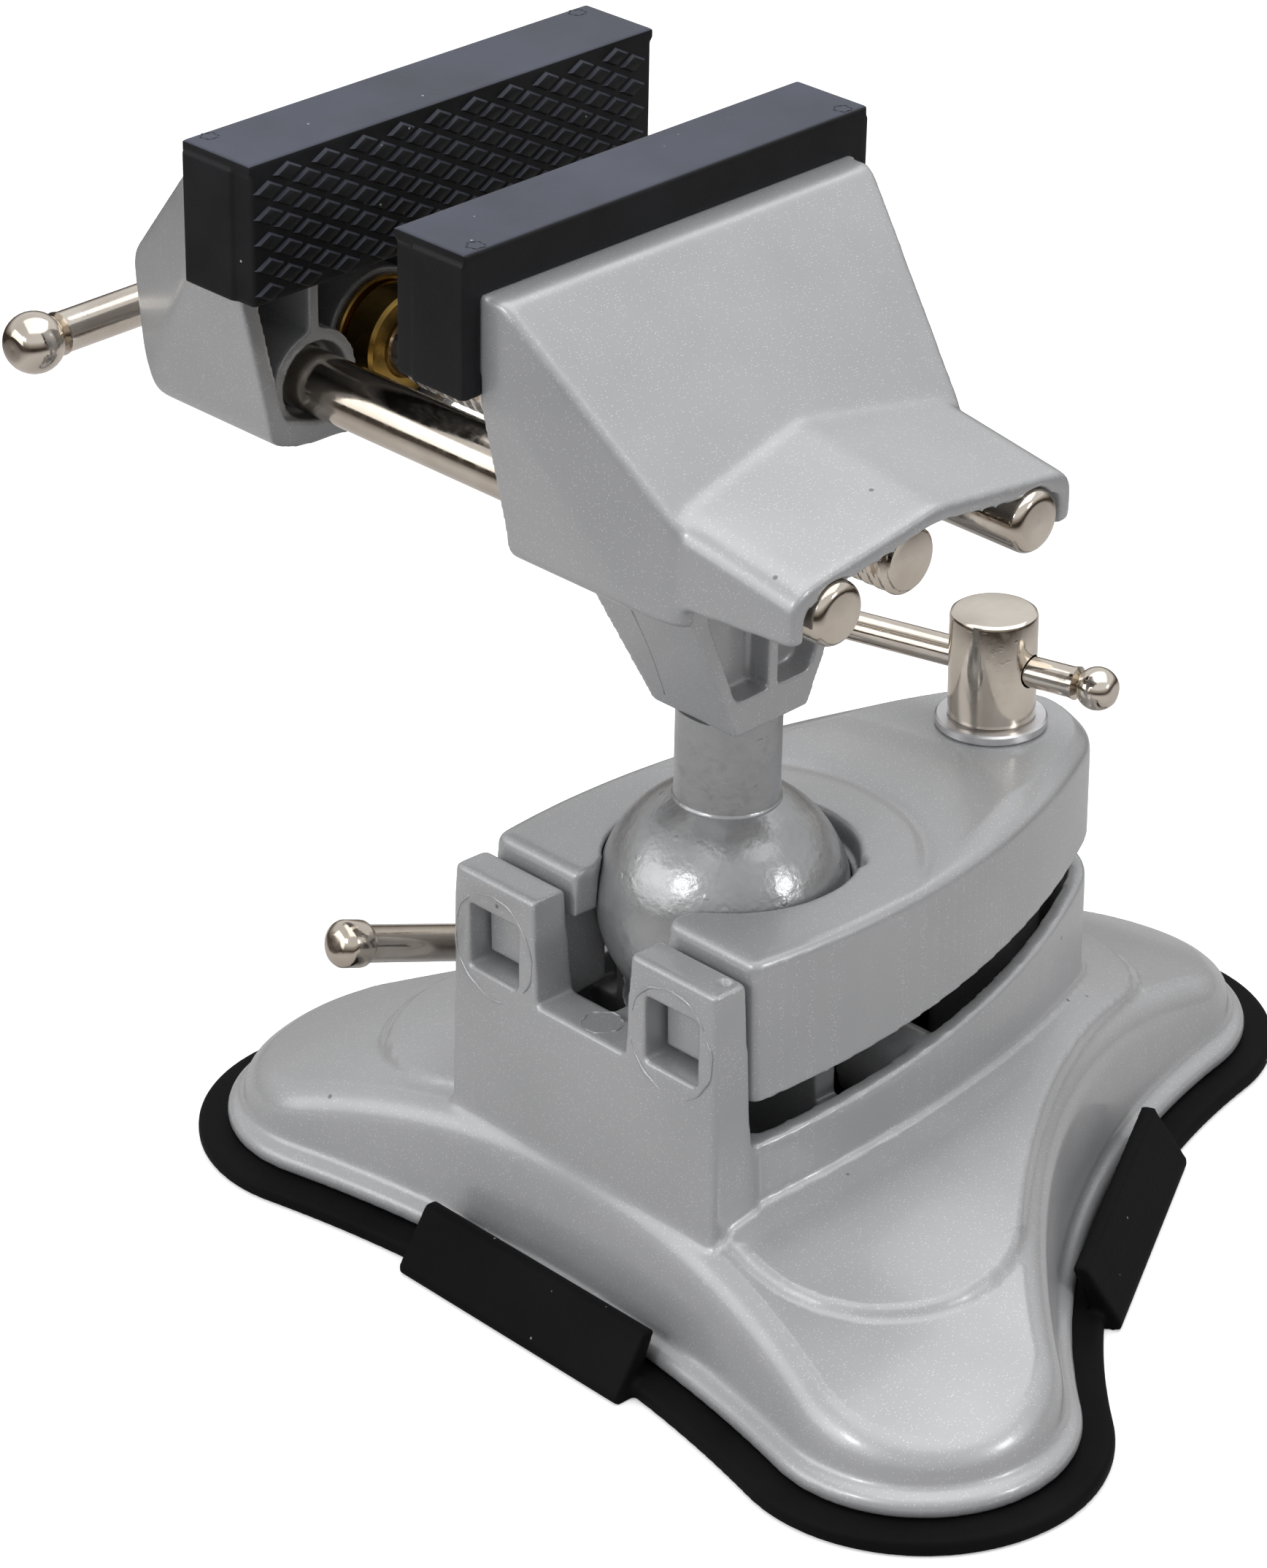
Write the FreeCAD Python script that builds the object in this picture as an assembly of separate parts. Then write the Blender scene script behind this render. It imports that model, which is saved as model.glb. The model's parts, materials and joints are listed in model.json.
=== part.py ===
import FreeCAD, Part
import math
import os

# A ball-joint table vise for holding circuit boards, on a three-lobed vacuum base.
#
# Frame: +Z up, +Y from the two front uprights towards the clamp screw, +X along the guide rods
# from the moving jaw to the fixed jaw.  The origin is the middle of the suction pad, on the table.
# All lengths are in millimetres.

V = FreeCAD.Vector
X_AXIS = V(1, 0, 0)
Y_AXIS = V(0, 1, 0)
Z_AXIS = V(0, 0, 1)

# ---------------------------------------------------------------- driving dimensions

RUN = 0.05            # radial clearance of a running fit; a pressed piece touches its seat

# suction pad and base
LOBE_ANGLES = (90, 210, 330)
LOBE_AT = 65.5        # pad centre to the centre of a lobe's end arc
LOBE_R = 27.5         # radius of a lobe's end arc
FRONT_WAIST = 53.5    # pad centre to the middle of the front hollow side
REAR_WAIST = 50.0     # the same for the two rear hollow sides
PAD_T = 2.6           # thickness of the pad's flange
PAD_RIM = 5.2         # how far the pad stands out past the casting
FLANGE_T = 3.2        # height of the rolled lip at the foot of the casting
LIP = 1.8             # how far that lip stands out from the wall
WALL_DRAFT = 3.2      # the base wall leans in by this over WALL_TOP
WALL_TOP = 26.0
DOME_R = 225.0        # the top of the base is part of a large ball
DOME_TOP = 27.0
SHELL = 3.0           # casting wall thickness
STEP_H = 1.3          # height of the raised panel on top of the lobes
PANEL_AT = 42.0       # the raised panel's outline, like the pad's
PANEL_R = 20.5
PANEL_WAIST = 38.0
TAB_W = 46.0          # lifting tabs in the middle of each hollow side
TAB_H = 9.5

# ball joint
BALL_R = 18.0
BALL = V(0, -15.0, 55.0)
NECK_R = 7.45
NECK_TOP = 30.5       # above the ball's centre
SPIGOT_R = 3.0
SPIGOT_TOP = 40.0
HEAD_SIDE = 2.4       # the neck rests leaning this many degrees to the fixed jaw's side,
HEAD_LEAN = 0.5       # this many degrees forward,
HEAD_TURN = 3.0       # and the head is turned this many degrees about the neck
CUP_RIM = 46.0        # height of the rim of the ball's cup in the base

# pedestal, uprights and lid
LID_W = 28.0          # half of the lid's greatest width
LID_WIDEST_Y = -14.0
LID_FRONT = -34.6
LID_BOTTOM = 40.0     # at the front; lid and pedestal edges rise towards the rear
RIM_RISE = 0.08       # by this much per millimetre
LID_TOP = 62.0
LID_WALL = 3.2
LID_END_R = 14.6      # rounded rear end, about the clamp screw
SCREW_Y = 38.7
SEAT_TOP = 63.6       # the face under the clamp washer
PEDESTAL_TOP = 33.4   # at the front
SLOT_W = 9.15         # half width of the slot that lets the neck fold forward
UPRIGHT_W = 26.8
UPRIGHT_FRONT = -43.5
UPRIGHT_BACK = -35.0
UPRIGHT_TOP = 59.7
NOTCH_FLOOR = 43.9
WINDOW_X = (12.95, 23.25)
WINDOW_Z = (44.65, 54.5)

# clamp screw, M8
M8_R = 4.0
WASHER_R = 8.25
WASHER_T = 1.6
HEAD_R = 6.45
HEAD_H = 16.5
BAR_R = 2.3
BAR_KNOB_R = 3.2
CLAMP_BAR_ANGLE = 15.0
CLAMP_BAR_ENDS = (-38.0, 19.9)

# vacuum lever and its cam shaft, along X
CAM_Z = 29.6
CAM_R = 3.5
CAM_END_R = 2.0       # the shaft's thin far end, which goes through the stud's eye
CAM_END_X = 25.2      # that end sits in a blind bore
HUB_R = 5.2           # the shaft's cross-drilled head, outside the base
CAM_THROW = 1.4       # offset of the journal that carries the pull stud
CAM_REST = 45.0       # the journal rests this many degrees above the horizontal, behind the axis
JOURNAL_R = 2.0
LEVER_X = -31.0
LEVER_TILT = 20.2     # above the horizontal, pointing forward
LEVER_LEN = 64.0
LEVER_R = 2.7
LEVER_KNOB_R = 3.4
GROOVE_R = 2.6        # the clip's groove, inside the base beside the left bearing
CLIP_X = (-13.9, -13.4)
STUD_FLANGE_R = 10.0  # pull stud, moulded into the pad
STEM_R = 4.0
EYE_SLACK = 0.2

# jaws, heights above the ball's centre
JAW_W = 70.0
RUBBER = 3.0
COVER_Z = (83.2, 103.6)
FIXED_COVER_X = (-26.3, -12.6)
MOVING_COVER_X = (-66.7, -52.8)
CASTING_TOP = 97.2
ROD_Y = 19.2
ROD_Z = 64.1
ROD_R = 4.5
ROD_X = (-86.0, 36.7)
SIDE_LOW_W = 30.4     # half width of the castings at the foot of their sides
BELLY_Z = 55.0

# lead screw, trapezoidal 10 x 2
LEAD_Z = 63.4
LEAD_R = 5.0
LEAD_ROOT_R = 4.15
LEAD_PITCH = 2.0
LEAD_END = 31.2
LEAD_HEAD = (-107.0, -91.4)
JAW_BAR_X = -100.0
JAW_BAR_R = 3.0
JAW_BAR_KNOB_R = 4.5
JAW_BAR_HALF = 42.0


# ---------------------------------------------------------------- shape helpers

def box(x, y, z):
    """A block between two values on each axis."""
    block = Part.makeBox(x[1] - x[0], y[1] - y[0], z[1] - z[0])
    block.translate(V(x[0], y[0], z[0]))
    return block


def rod(start, end, radius):
    """A round bar between two points."""
    return Part.makeCylinder(radius, (end - start).Length, start, end - start)


def outline(points):
    """A closed wire through points.  A point written as (middle, end) makes an arc."""
    edges = []
    here = points[0]
    for item in points[1:]:
        if isinstance(item, tuple):
            middle, end = item
            edges.append(Part.Arc(here, middle, end).toShape())
        else:
            end = item
            edges.append(Part.makeLine(here, end))
        here = end
    if (here - points[0]).Length > 1e-6:
        edges.append(Part.makeLine(here, points[0]))
    return Part.Wire(edges)


def prism(wire, sweep):
    return Part.Face(wire).extrude(sweep)


def side_prism(profile, width):
    """A profile of (x, z) pairs swept across Y, centred."""
    points = [V(x, -width / 2, z) for x, z in profile]
    return prism(outline(points), V(0, width, 0))


def revolve(profile, centre, axis, across):
    """A profile of (radius, height) pairs turned about an axis through centre."""
    points = [centre + across * r + axis * h for r, h in profile]
    return Part.Face(outline(points)).revolve(centre, axis, 360)


def fuse(first, *others):
    return first.multiFuse(list(others)).removeSplitter()


def cut(body, *tools):
    for tool in tools:
        body = body.cut(tool)
    return body


def common(first, *others):
    for other in others:
        first = first.common(other)
    return first


def round_edges(shape, radius, wanted):
    """Fillet every edge that wanted(edge) picks."""
    edges = [edge for edge in shape.Edges if wanted(edge)]
    return shape.makeFillet(radius, edges)


def mirrored(shape):
    """The same shape on the other side of the X-Z plane."""
    return shape.mirror(V(0, 0, 0), Y_AXIS)


def both_sides(shape):
    """A shape and its mirror image across x = 0."""
    return [shape, shape.mirror(V(0, 0, 0), X_AXIS)]


def turned_bar(start, end, radius, knob_r, knob_len):
    """A plain bar with a round knob and a small flat tip at each end."""
    length = (end - start).Length
    axis = (end - start).normalize()
    across = axis.cross(Z_AXIS) if abs(axis.z) < 0.9 else X_AXIS
    tip_r = knob_r * 0.55
    k = knob_len
    profile = [
        (0, 0), (tip_r, 0), (knob_r, k * 0.38), (knob_r, k * 0.62), (radius, k),
        (radius, length - k), (knob_r, length - k * 0.62), (knob_r, length - k * 0.38),
        (tip_r, length), (0, length),
    ]
    return revolve(profile, start, axis, across.normalize())


# ---------------------------------------------------------------- suction pad and base

def waist_at(angle):
    """Distance from the pad's centre to the middle of the hollow side facing this way."""
    return FRONT_WAIST if angle % 360 == 270 else REAR_WAIST


def lobed_wire(z, inset=0.0, lobe_at=LOBE_AT, lobe_r=LOBE_R, even_waist=None):
    """The three-lobed outline: three end arcs joined by three tangent hollow arcs."""

    def spot(angle, distance):
        turn = math.radians(angle)
        return V(distance * math.cos(turn), distance * math.sin(turn), z)

    def hollow(angle):
        """Centre and middle of the hollow arc between the two lobes beside this angle."""
        waist = even_waist or waist_at(angle)
        slack = lobe_r - waist
        distance = (lobe_at ** 2 - slack ** 2) / (lobe_at + 2 * slack)
        return spot(angle, distance), spot(angle, waist - inset)

    edges = []
    for angle in LOBE_ANGLES:
        lobe = spot(angle, lobe_at)
        beyond = spot(angle + 120, lobe_at)
        before_centre = hollow(angle - 60)[0]
        after_centre, after_middle = hollow(angle + 60)
        touch_before = lobe + (before_centre - lobe).normalize() * (lobe_r - inset)
        touch_after = lobe + (after_centre - lobe).normalize() * (lobe_r - inset)
        touch_beyond = beyond + (after_centre - beyond).normalize() * (lobe_r - inset)
        tip = spot(angle, lobe_at + lobe_r - inset)
        edges.append(Part.Arc(touch_before, tip, touch_after).toShape())
        edges.append(Part.Arc(touch_after, after_middle, touch_beyond).toShape())
    return Part.Wire(edges)


def make_suction_pad():
    sheet = prism(lobed_wire(0), V(0, 0, PAD_T))
    sheet = round_edges(sheet, 0.9, lambda e: e.BoundBox.ZMin > PAD_T - 0.01)
    profile = [(-6.0, 0), (3.2, 0), (3.5, 1.5), (-1.8, TAB_H), (-4.0, TAB_H), (-0.8, PAD_T), (-6.0, PAD_T)]
    tabs = []
    for angle in (30, 150, 270):
        points = [V(waist_at(angle) + d, -TAB_W / 2, z) for d, z in profile]
        tab = prism(outline(points), V(0, TAB_W, 0))
        tab.rotate(V(0, 0, 0), Z_AXIS, angle)
        tabs.append(tab)
    boss = Part.makeCylinder(12.8, 9.5)
    pad = fuse(sheet, boss, *tabs)
    pocket = Part.makeCylinder(STUD_FLANGE_R + 0.2, 5.2, V(0, 0, 2.0))
    stem_hole = Part.makeCylinder(STEM_R + 0.4, 4.0, V(0, 0, 7.0))
    return cut(pad, pocket, stem_hole)


def dome(top):
    """Everything under the base's big ball surface, with its highest point at top."""
    return Part.makeSphere(DOME_R, V(0, 0, top - DOME_R))


def lid_wire(z, inset=0.0):
    """The boat-shaped outline of the lid: straight front, curved sides, rounded rear end."""
    end_r = LID_END_R - inset
    half_w = LID_W - inset
    span = SCREW_Y - LID_WIDEST_Y
    side_r = (half_w ** 2 + span ** 2 - end_r ** 2) / (2 * (half_w - end_r))
    side_x = half_w - side_r
    front = LID_FRONT + inset

    def on_side(y):
        return side_x + math.sqrt(side_r ** 2 - (y - LID_WIDEST_Y) ** 2)

    away = V(-side_x, span, 0).normalize()
    touch = V(0, SCREW_Y, z) + away * end_r
    mid_y = (front + touch.y) / 2
    right_front = V(on_side(front), front, z)
    left_front = V(-right_front.x, front, z)
    return outline([
        left_front, right_front,
        (V(on_side(mid_y), mid_y, z), touch),
        (V(0, SCREW_Y + end_r, z), V(-touch.x, touch.y, z)),
        (V(-on_side(mid_y), mid_y, z), left_front),
    ])


def beyond_slope(height, far_z):
    """Everything between far_z and a plane that passes the lid's front at a height and rises to the rear."""
    slope = [V(-60, y, height + RIM_RISE * (y - LID_FRONT)) for y in (-60, 80)]
    return prism(outline(slope + [V(-60, 80, far_z), V(-60, -60, far_z)]), V(120, 0, 0))


def base_outside():
    foot = PAD_RIM + LIP
    wall = Part.makeLoft([lobed_wire(PAD_T, foot), lobed_wire(WALL_TOP, foot + WALL_DRAFT)], True)
    body = common(wall, dome(DOME_TOP))
    body = round_edges(body, 5.0, lambda e: e.BoundBox.ZMin > PAD_T + 3 and e.BoundBox.ZMax < WALL_TOP)
    panel = prism(lobed_wire(8, 0, PANEL_AT, PANEL_R, PANEL_WAIST), V(0, 0, WALL_TOP))
    panel = common(panel, dome(DOME_TOP + STEP_H))
    lip = prism(lobed_wire(PAD_T, PAD_RIM), V(0, 0, FLANGE_T))
    lip = round_edges(lip, 1.4, lambda e: e.BoundBox.ZMin > PAD_T + FLANGE_T - 0.01)
    return fuse(body, panel, lip)


def make_base_casting():
    body = base_outside()
    pedestal = cut(prism(lid_wire(12.0), V(0, 0, 40.0)), beyond_slope(PEDESTAL_TOP, 90.0))
    uprights = box((-UPRIGHT_W, UPRIGHT_W), (UPRIGHT_FRONT, UPRIGHT_BACK), (12.0, UPRIGHT_TOP))
    top_or_corner = lambda e: e.BoundBox.ZMax > UPRIGHT_TOP - 0.01 or e.BoundBox.ZLength > 5
    uprights = round_edges(uprights, 1.2, top_or_corner)
    inside = PAD_RIM + LIP + SHELL
    cavity = Part.makeLoft([lobed_wire(PAD_T, inside), lobed_wire(WALL_TOP, inside + WALL_DRAFT)], True)
    cavity = common(cavity, dome(DOME_TOP - SHELL))
    well = prism(lid_wire(PAD_T, 2.6), V(0, 0, 50.0))
    shell = cut(fuse(body, pedestal, uprights), cavity, well)
    cup = common(Part.makeSphere(BALL_R + 3.4, BALL), box((-30, 30), (-40, 20), (30, CUP_RIM)))
    cup = cut(cup, box((-25.5, 25.5), (-40, -23.0), (LID_BOTTOM - 0.5, CUP_RIM)))
    struts = [box((-25.6, 25.6), (BALL.y - 2, BALL.y + 2), (PAD_T + 2, 41)),
              box((-2, 2), (UPRIGHT_BACK - 1, BALL.y), (PAD_T + 2, 43)),
              box((-1.5, 1.5), (SCREW_Y, SCREW_Y + LID_END_R - 1), (PAD_T + 2, PEDESTAL_TOP - 1))]
    post = Part.makeCylinder(8.0, 38.0 - PAD_T - 2, V(0, SCREW_Y, PAD_T + 2))
    bearings = [rod(V(side * 14.0, 0, CAM_Z), V(side * 25.6, 0, CAM_Z), 6.5) for side in (-1, 1)]
    shell = fuse(shell, cup, post, *struts, *bearings)
    notch = box((-SLOT_W, SLOT_W), (UPRIGHT_FRONT - 1, UPRIGHT_BACK + 1), (NOTCH_FLOOR, UPRIGHT_TOP + 1))
    windows = both_sides(box(WINDOW_X, (UPRIGHT_FRONT - 1, UPRIGHT_BACK + 1), WINDOW_Z))
    thread = Part.makeCylinder(M8_R + RUN, 40, V(0, SCREW_Y, PAD_T))
    cam_bore = rod(V(-40, 0, CAM_Z), V(0, 0, CAM_Z), CAM_R + RUN)
    thin_bore = rod(V(0, 0, CAM_Z), V(CAM_END_X + 0.2, 0, CAM_Z), CAM_END_R + RUN)
    hub_recess = rod(V(-38, 0, CAM_Z), V(-28.2, 0, CAM_Z), HUB_R + 0.6)
    ball_seat = Part.makeSphere(BALL_R + RUN, BALL)
    return cut(shell, notch, *windows, thread, cam_bore, thin_bore, hub_recess, ball_seat)


# ---------------------------------------------------------------- vacuum lever

def journal_centre():
    rest = math.radians(CAM_REST)
    return V(0, CAM_THROW * math.cos(rest), CAM_Z + CAM_THROW * math.sin(rest))


def make_pull_stud():
    """Mushroom stud moulded into the pad, with an eye that the shaft's offset journal turns in."""
    centre = journal_centre()
    middle_y = (CAM_THROW + centre.y) / 2
    half_y = JOURNAL_R + (CAM_THROW - centre.y) / 2 + EYE_SLACK
    half_z = JOURNAL_R + EYE_SLACK
    flange = Part.makeCylinder(STUD_FLANGE_R, 2.0, V(0, 0, 4.8))
    stem = Part.makeCylinder(STEM_R, 17.2, V(0, 0, 4.8))
    wall = 1.7
    eye_y = (middle_y - half_y - wall, middle_y + half_y + wall)
    eye = box((-4.0, 4.0), eye_y, (20.0, centre.z + half_z + wall))
    window = box((-5, 5), (middle_y - half_y, middle_y + half_y), (centre.z - half_z, centre.z + half_z))
    return cut(fuse(flange, stem, eye), window)


def make_cam_shaft():
    """Shaft along X with an offset journal in the middle and a cross hole for the lever."""
    axis = V(0, 0, CAM_Z)
    offset = journal_centre()
    head = rod(axis + V(-36.0, 0, 0), axis + V(-28.6, 0, 0), HUB_R)
    left = rod(axis + V(-36.0, 0, 0), axis + V(-6.0, 0, 0), CAM_R)
    journal = rod(offset + V(-6.0, 0, 0), offset + V(6.0, 0, 0), JOURNAL_R)
    right = rod(axis + V(6.0, 0, 0), axis + V(CAM_END_X, 0, 0), CAM_END_R)
    groove_from, groove_to = V(CLIP_X[0] - RUN, 0, 0), V(CLIP_X[1] + RUN, 0, 0)
    groove_core = rod(axis + groove_from, axis + groove_to, GROOVE_R)
    groove = cut(rod(axis + groove_from, axis + groove_to, 5.0), groove_core)
    return cut(fuse(head, left, journal, right), groove, lever_bar(LEVER_R))


def lever_direction():
    tilt = math.radians(LEVER_TILT)
    return V(0, -math.cos(tilt), math.sin(tilt))


def lever_bar(radius):
    hub = V(LEVER_X, 0, CAM_Z)
    direction = lever_direction()
    return rod(hub - direction * 4.0, hub + direction * (LEVER_LEN - 4), radius)


def make_suction_lever():
    hub = V(LEVER_X, 0, CAM_Z)
    direction = lever_direction()
    knob = revolve([(0, 0), (LEVER_R, 0), (LEVER_KNOB_R, 1.5), (LEVER_KNOB_R, 4.0), (2.3, 5.6), (0, 5.6)],
                   hub + direction * (LEVER_LEN - 5.6), direction, X_AXIS)
    return fuse(lever_bar(LEVER_R), knob)


def make_shaft_clip():
    """Open snap ring in the shaft's groove, against the left bearing's inner face."""
    axis = V(0, 0, CAM_Z)
    ring = rod(axis + V(CLIP_X[0], 0, 0), axis + V(CLIP_X[1], 0, 0), 4.8)
    bore = rod(axis + V(CLIP_X[0] - 1, 0, 0), axis + V(CLIP_X[1] + 1, 0, 0), GROOVE_R + RUN)
    gap = box((CLIP_X[0] - 1, CLIP_X[1] + 1), (-2.0, 2.0), (CAM_Z - 8, CAM_Z))
    return cut(ring, bore, gap)


# ---------------------------------------------------------------- ball clamp

def lid_outside():
    """The lid's outer form: flat on top, with a raised seat under the clamp washer."""
    body = prism(lid_wire(LID_BOTTOM), V(0, 0, LID_TOP - LID_BOTTOM))
    body = round_edges(body, 1.6, lambda e: e.BoundBox.ZMin > LID_TOP - 0.01 or is_front_corner(e))
    rise = Part.makeCone(12.8, 9.4, 1.2, V(0, SCREW_Y, LID_TOP))
    ring = Part.makeCylinder(9.2, SEAT_TOP - LID_TOP, V(0, SCREW_Y, LID_TOP))
    return fuse(body, rise, ring)


def is_front_corner(edge):
    return edge.BoundBox.ZLength > 10 and edge.BoundBox.YMax < LID_FRONT + 0.1


def make_clamp_lid():
    inside = prism(lid_wire(LID_BOTTOM - 1, LID_WALL), V(0, 0, 57.5 - LID_BOTTOM + 1))
    shell = cut(lid_outside(), inside)
    blocks = both_sides(box((SLOT_W, 24.5), (LID_FRONT + 1, -25), (LID_BOTTOM, LID_TOP - 1)))
    seat = cut(Part.makeCylinder(BALL_R + 5, LID_TOP - 54, V(0, BALL.y, 53)),
               Part.makeCylinder(BALL_R, 40, V(0, BALL.y, 40)))
    seat = common(seat, prism(lid_wire(LID_BOTTOM, 1), V(0, 0, 30)))
    post = Part.makeCylinder(9.2, LID_TOP - LID_BOTTOM - 1, V(0, SCREW_Y, LID_BOTTOM))
    lugs = both_sides(box((WINDOW_X[0] + 0.6, WINDOW_X[1] - 0.5), (-38.6, LID_FRONT + 1),
                          (WINDOW_Z[0] + 1.2, WINDOW_Z[1] - 0.5)))
    lid = fuse(shell, *blocks, seat, post, *lugs)
    slot = box((-SLOT_W, SLOT_W), (-40, BALL.y), (LID_BOTTOM - 1, LID_TOP + 5))
    mouth = Part.makeCylinder(BALL_R - 0.2, 20, BALL + V(0, 1.2, 3.4))
    catch = box((5.0, 9.0), (BALL.y + 14, BALL.y + 20.5), (LID_TOP - 2.5, LID_TOP + 1))
    screw_hole = Part.makeCylinder(M8_R + 0.45, 40, V(0, SCREW_Y, LID_BOTTOM - 1))
    lid = cut(lid, slot, mouth, catch, screw_hole, Part.makeSphere(BALL_R + 0.15, BALL))
    return cut(round_edges(lid, 1.4, is_slot_edge), beyond_slope(LID_BOTTOM, 0.0))


def is_slot_edge(edge):
    """The upright corners of the front slot, and its top edges."""
    b = edge.BoundBox
    beside = abs(abs(b.Center.x) - SLOT_W) < 0.1 and b.XLength < 0.1
    corner = b.ZLength > 10 and b.YMax < LID_FRONT + 0.1
    top = b.ZMin > LID_TOP - 0.05 and b.YLength > 1
    return beside and (corner or top)


def make_clamp_washer():
    disc = Part.makeCylinder(WASHER_R, WASHER_T, V(0, SCREW_Y, SEAT_TOP))
    return cut(disc, Part.makeCylinder(M8_R + 0.2, 4, V(0, SCREW_Y, SEAT_TOP - 1)))


def clamp_bar_axis():
    turn = math.radians(CLAMP_BAR_ANGLE)
    return V(math.cos(turn), math.sin(turn), 0)


def clamp_bar_centre():
    return V(0, SCREW_Y, SEAT_TOP + WASHER_T + HEAD_H / 2)


def make_clamp_screw():
    under_head = SEAT_TOP + WASHER_T
    head = Part.makeCylinder(HEAD_R, HEAD_H, V(0, SCREW_Y, under_head))
    head = round_edges(head, 0.5, lambda e: e.BoundBox.ZMin > under_head + HEAD_H - 0.01)
    shank = Part.makeCylinder(M8_R, under_head - 12.0, V(0, SCREW_Y, 12.0))
    shank = shank.makeChamfer(0.8, [e for e in shank.Edges if e.BoundBox.ZMax < 12.1])
    axis = clamp_bar_axis()
    middle = clamp_bar_centre()
    cross = rod(middle - axis * 10, middle + axis * 10, BAR_R + 0.15)
    return cut(fuse(head, shank), cross)


def make_clamp_tommy_bar():
    axis = clamp_bar_axis()
    middle = clamp_bar_centre()
    start, end = [middle + axis * distance for distance in CLAMP_BAR_ENDS]
    return turned_bar(start, end, BAR_R, BAR_KNOB_R, 6.0)


# ---------------------------------------------------------------- ball and neck

def make_ball():
    return Part.makeSphere(BALL_R, BALL)


def make_neck():
    low = BALL_R - 4.0
    shoulder = NECK_TOP - RUN
    profile = [(0, low), (NECK_R, low), (NECK_R, shoulder), (SPIGOT_R, shoulder), (SPIGOT_R, SPIGOT_TOP),
               (0, SPIGOT_TOP)]
    neck = revolve(profile, V(0, 0, 0), Z_AXIS, X_AXIS)
    tapped = Part.makeCylinder(2.0, 9.0, V(0, 0, SPIGOT_TOP - 8.0))
    return at_head(cut(neck, Part.makeSphere(BALL_R + RUN), tapped))


def make_swivel_screw():
    top = V(0, 0, SPIGOT_TOP)
    shank = Part.makeCylinder(2.0 - 0.02, 7.0, top - V(0, 0, 7.0))
    head = Part.makeCylinder(3.55, 2.6, top)
    socket = Part.makeCylinder(1.6, 1.8, top + V(0, 0, 1.0))
    return at_head(cut(fuse(shank, head), socket))


# ---------------------------------------------------------------- jaw castings

def at_head(shape):
    """Move a shape drawn upright about the ball's centre to its rest position on the vise."""
    shape.rotate(V(0, 0, 0), Z_AXIS, HEAD_TURN)
    shape.rotate(V(0, 0, 0), X_AXIS, HEAD_LEAN)
    shape.rotate(V(0, 0, 0), Y_AXIS, HEAD_SIDE)
    shape.translate(BALL)
    return shape


def cross_section(x_from, x_to, inset=0.0):
    """The castings' section across X: upright sides that lean in, and a belly that is nearly flat."""
    side = JAW_W / 2 - inset
    low = SIDE_LOW_W - inset
    corner = V(x_from, -low + 1.6, 57.6 + inset)
    half = [V(x_from, -side, 110), V(x_from, -side, 82), V(x_from, -low, 62.5)]
    bottom = V(x_from, -low + 5.2, 56.6 + inset)
    points = half + [(corner, bottom)] + [V(x_from, 0, BELLY_Z + inset)]
    other = [V(x_from, low - 5.2, 56.6 + inset), (V(x_from, low - 1.6, 57.6 + inset), V(x_from, low, 62.5)),
             V(x_from, side, 82), V(x_from, side, 110)]
    return prism(outline(points + other), V(x_to - x_from, 0, 0))


def plan_taper(points, z_from=40, z_to=110):
    """A symmetric plan outline from (x, half width) pairs, swept upward."""
    near = [V(x, -w, z_from) for x, w in points]
    far = [V(x, w, z_from) for x, w in reversed(points)]
    return prism(outline(near + far), V(0, 0, z_to - z_from))


def jaw_head(front_x, back_x, back_top_x):
    """The flat jaw that its rubber cover slips over: a plate with a step behind its top edge."""
    low = COVER_Z[0] + RUBBER
    top = COVER_Z[1] - RUBBER
    near, far = sorted((front_x, back_x))
    plate = box((near, far), (-JAW_W / 2, JAW_W / 2), (low, CASTING_TOP))
    near, far = sorted((front_x, back_top_x))
    edge = box((near, far), (-JAW_W / 2, JAW_W / 2), (low, top))
    return fuse(plate, edge)


FIXED_SIDE = [(-13.0, 40), (-13.0, CASTING_TOP), (-8.5, CASTING_TOP - 0.4), (16.5, 70.4), (16.5, 40)]
HOOD_START = 8.0
HOOD_END = 35.6


def hood_wire(x, inset, ridge, eave, foot):
    """Roof-shaped section of the hood over the rod ends, open below."""
    w = 27.4 - inset
    ridge = ridge - inset
    eave = eave - inset
    r = 4.0 - inset / 2
    lean = 0.7071 * r
    return outline([
        V(x, -w, foot), V(x, -w, eave - r),
        (V(x, -w + r - lean, eave - r + lean), V(x, -w + r, eave)),
        V(x, 0, ridge), V(x, w - r, eave),
        (V(x, w - r + lean, eave - r + lean), V(x, w, eave - r)),
        V(x, w, foot),
    ])


def hood(inset, x_from, x_to, foot_from, foot_to):
    slope = 3.8 / (HOOD_END - 10.6)
    start_drop = (x_from - 10.6) * slope
    end_drop = (x_to - 10.6) * slope
    first = hood_wire(x_from, inset, 76.6 - start_drop, 73.0 - start_drop, foot_from)
    last = hood_wire(x_to, inset, 76.6 - end_drop, 72.6 - end_drop, foot_to)
    return Part.makeLoft([first, last], True)


def bracket_outside():
    """The V-shaped bracket between the neck and the fixed jaw."""
    half = [(7.0, NECK_TOP), (18.9, 57.0)]
    points = [V(-20, -w, z) for w, z in half] + [V(-20, w, z) for w, z in reversed(half)]
    front_view = prism(outline(points), V(40, 0, 0))
    side_view = side_prism([(-7.9, NECK_TOP), (8.0, NECK_TOP), (8.0, 58.0), (-12.6, 58.0), (-12.0, 50.0)], 60)
    return common(front_view, side_view)


def bracket_pocket():
    """One of the two hollows beside the bracket's middle rib."""
    points = [V(4.2, 1.0, 36.0), V(4.2, 7.2, 36.0), V(4.2, 14.4, 53.5), V(4.2, 1.0, 53.5)]
    return prism(outline(points), V(10, 0, 0))


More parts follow.
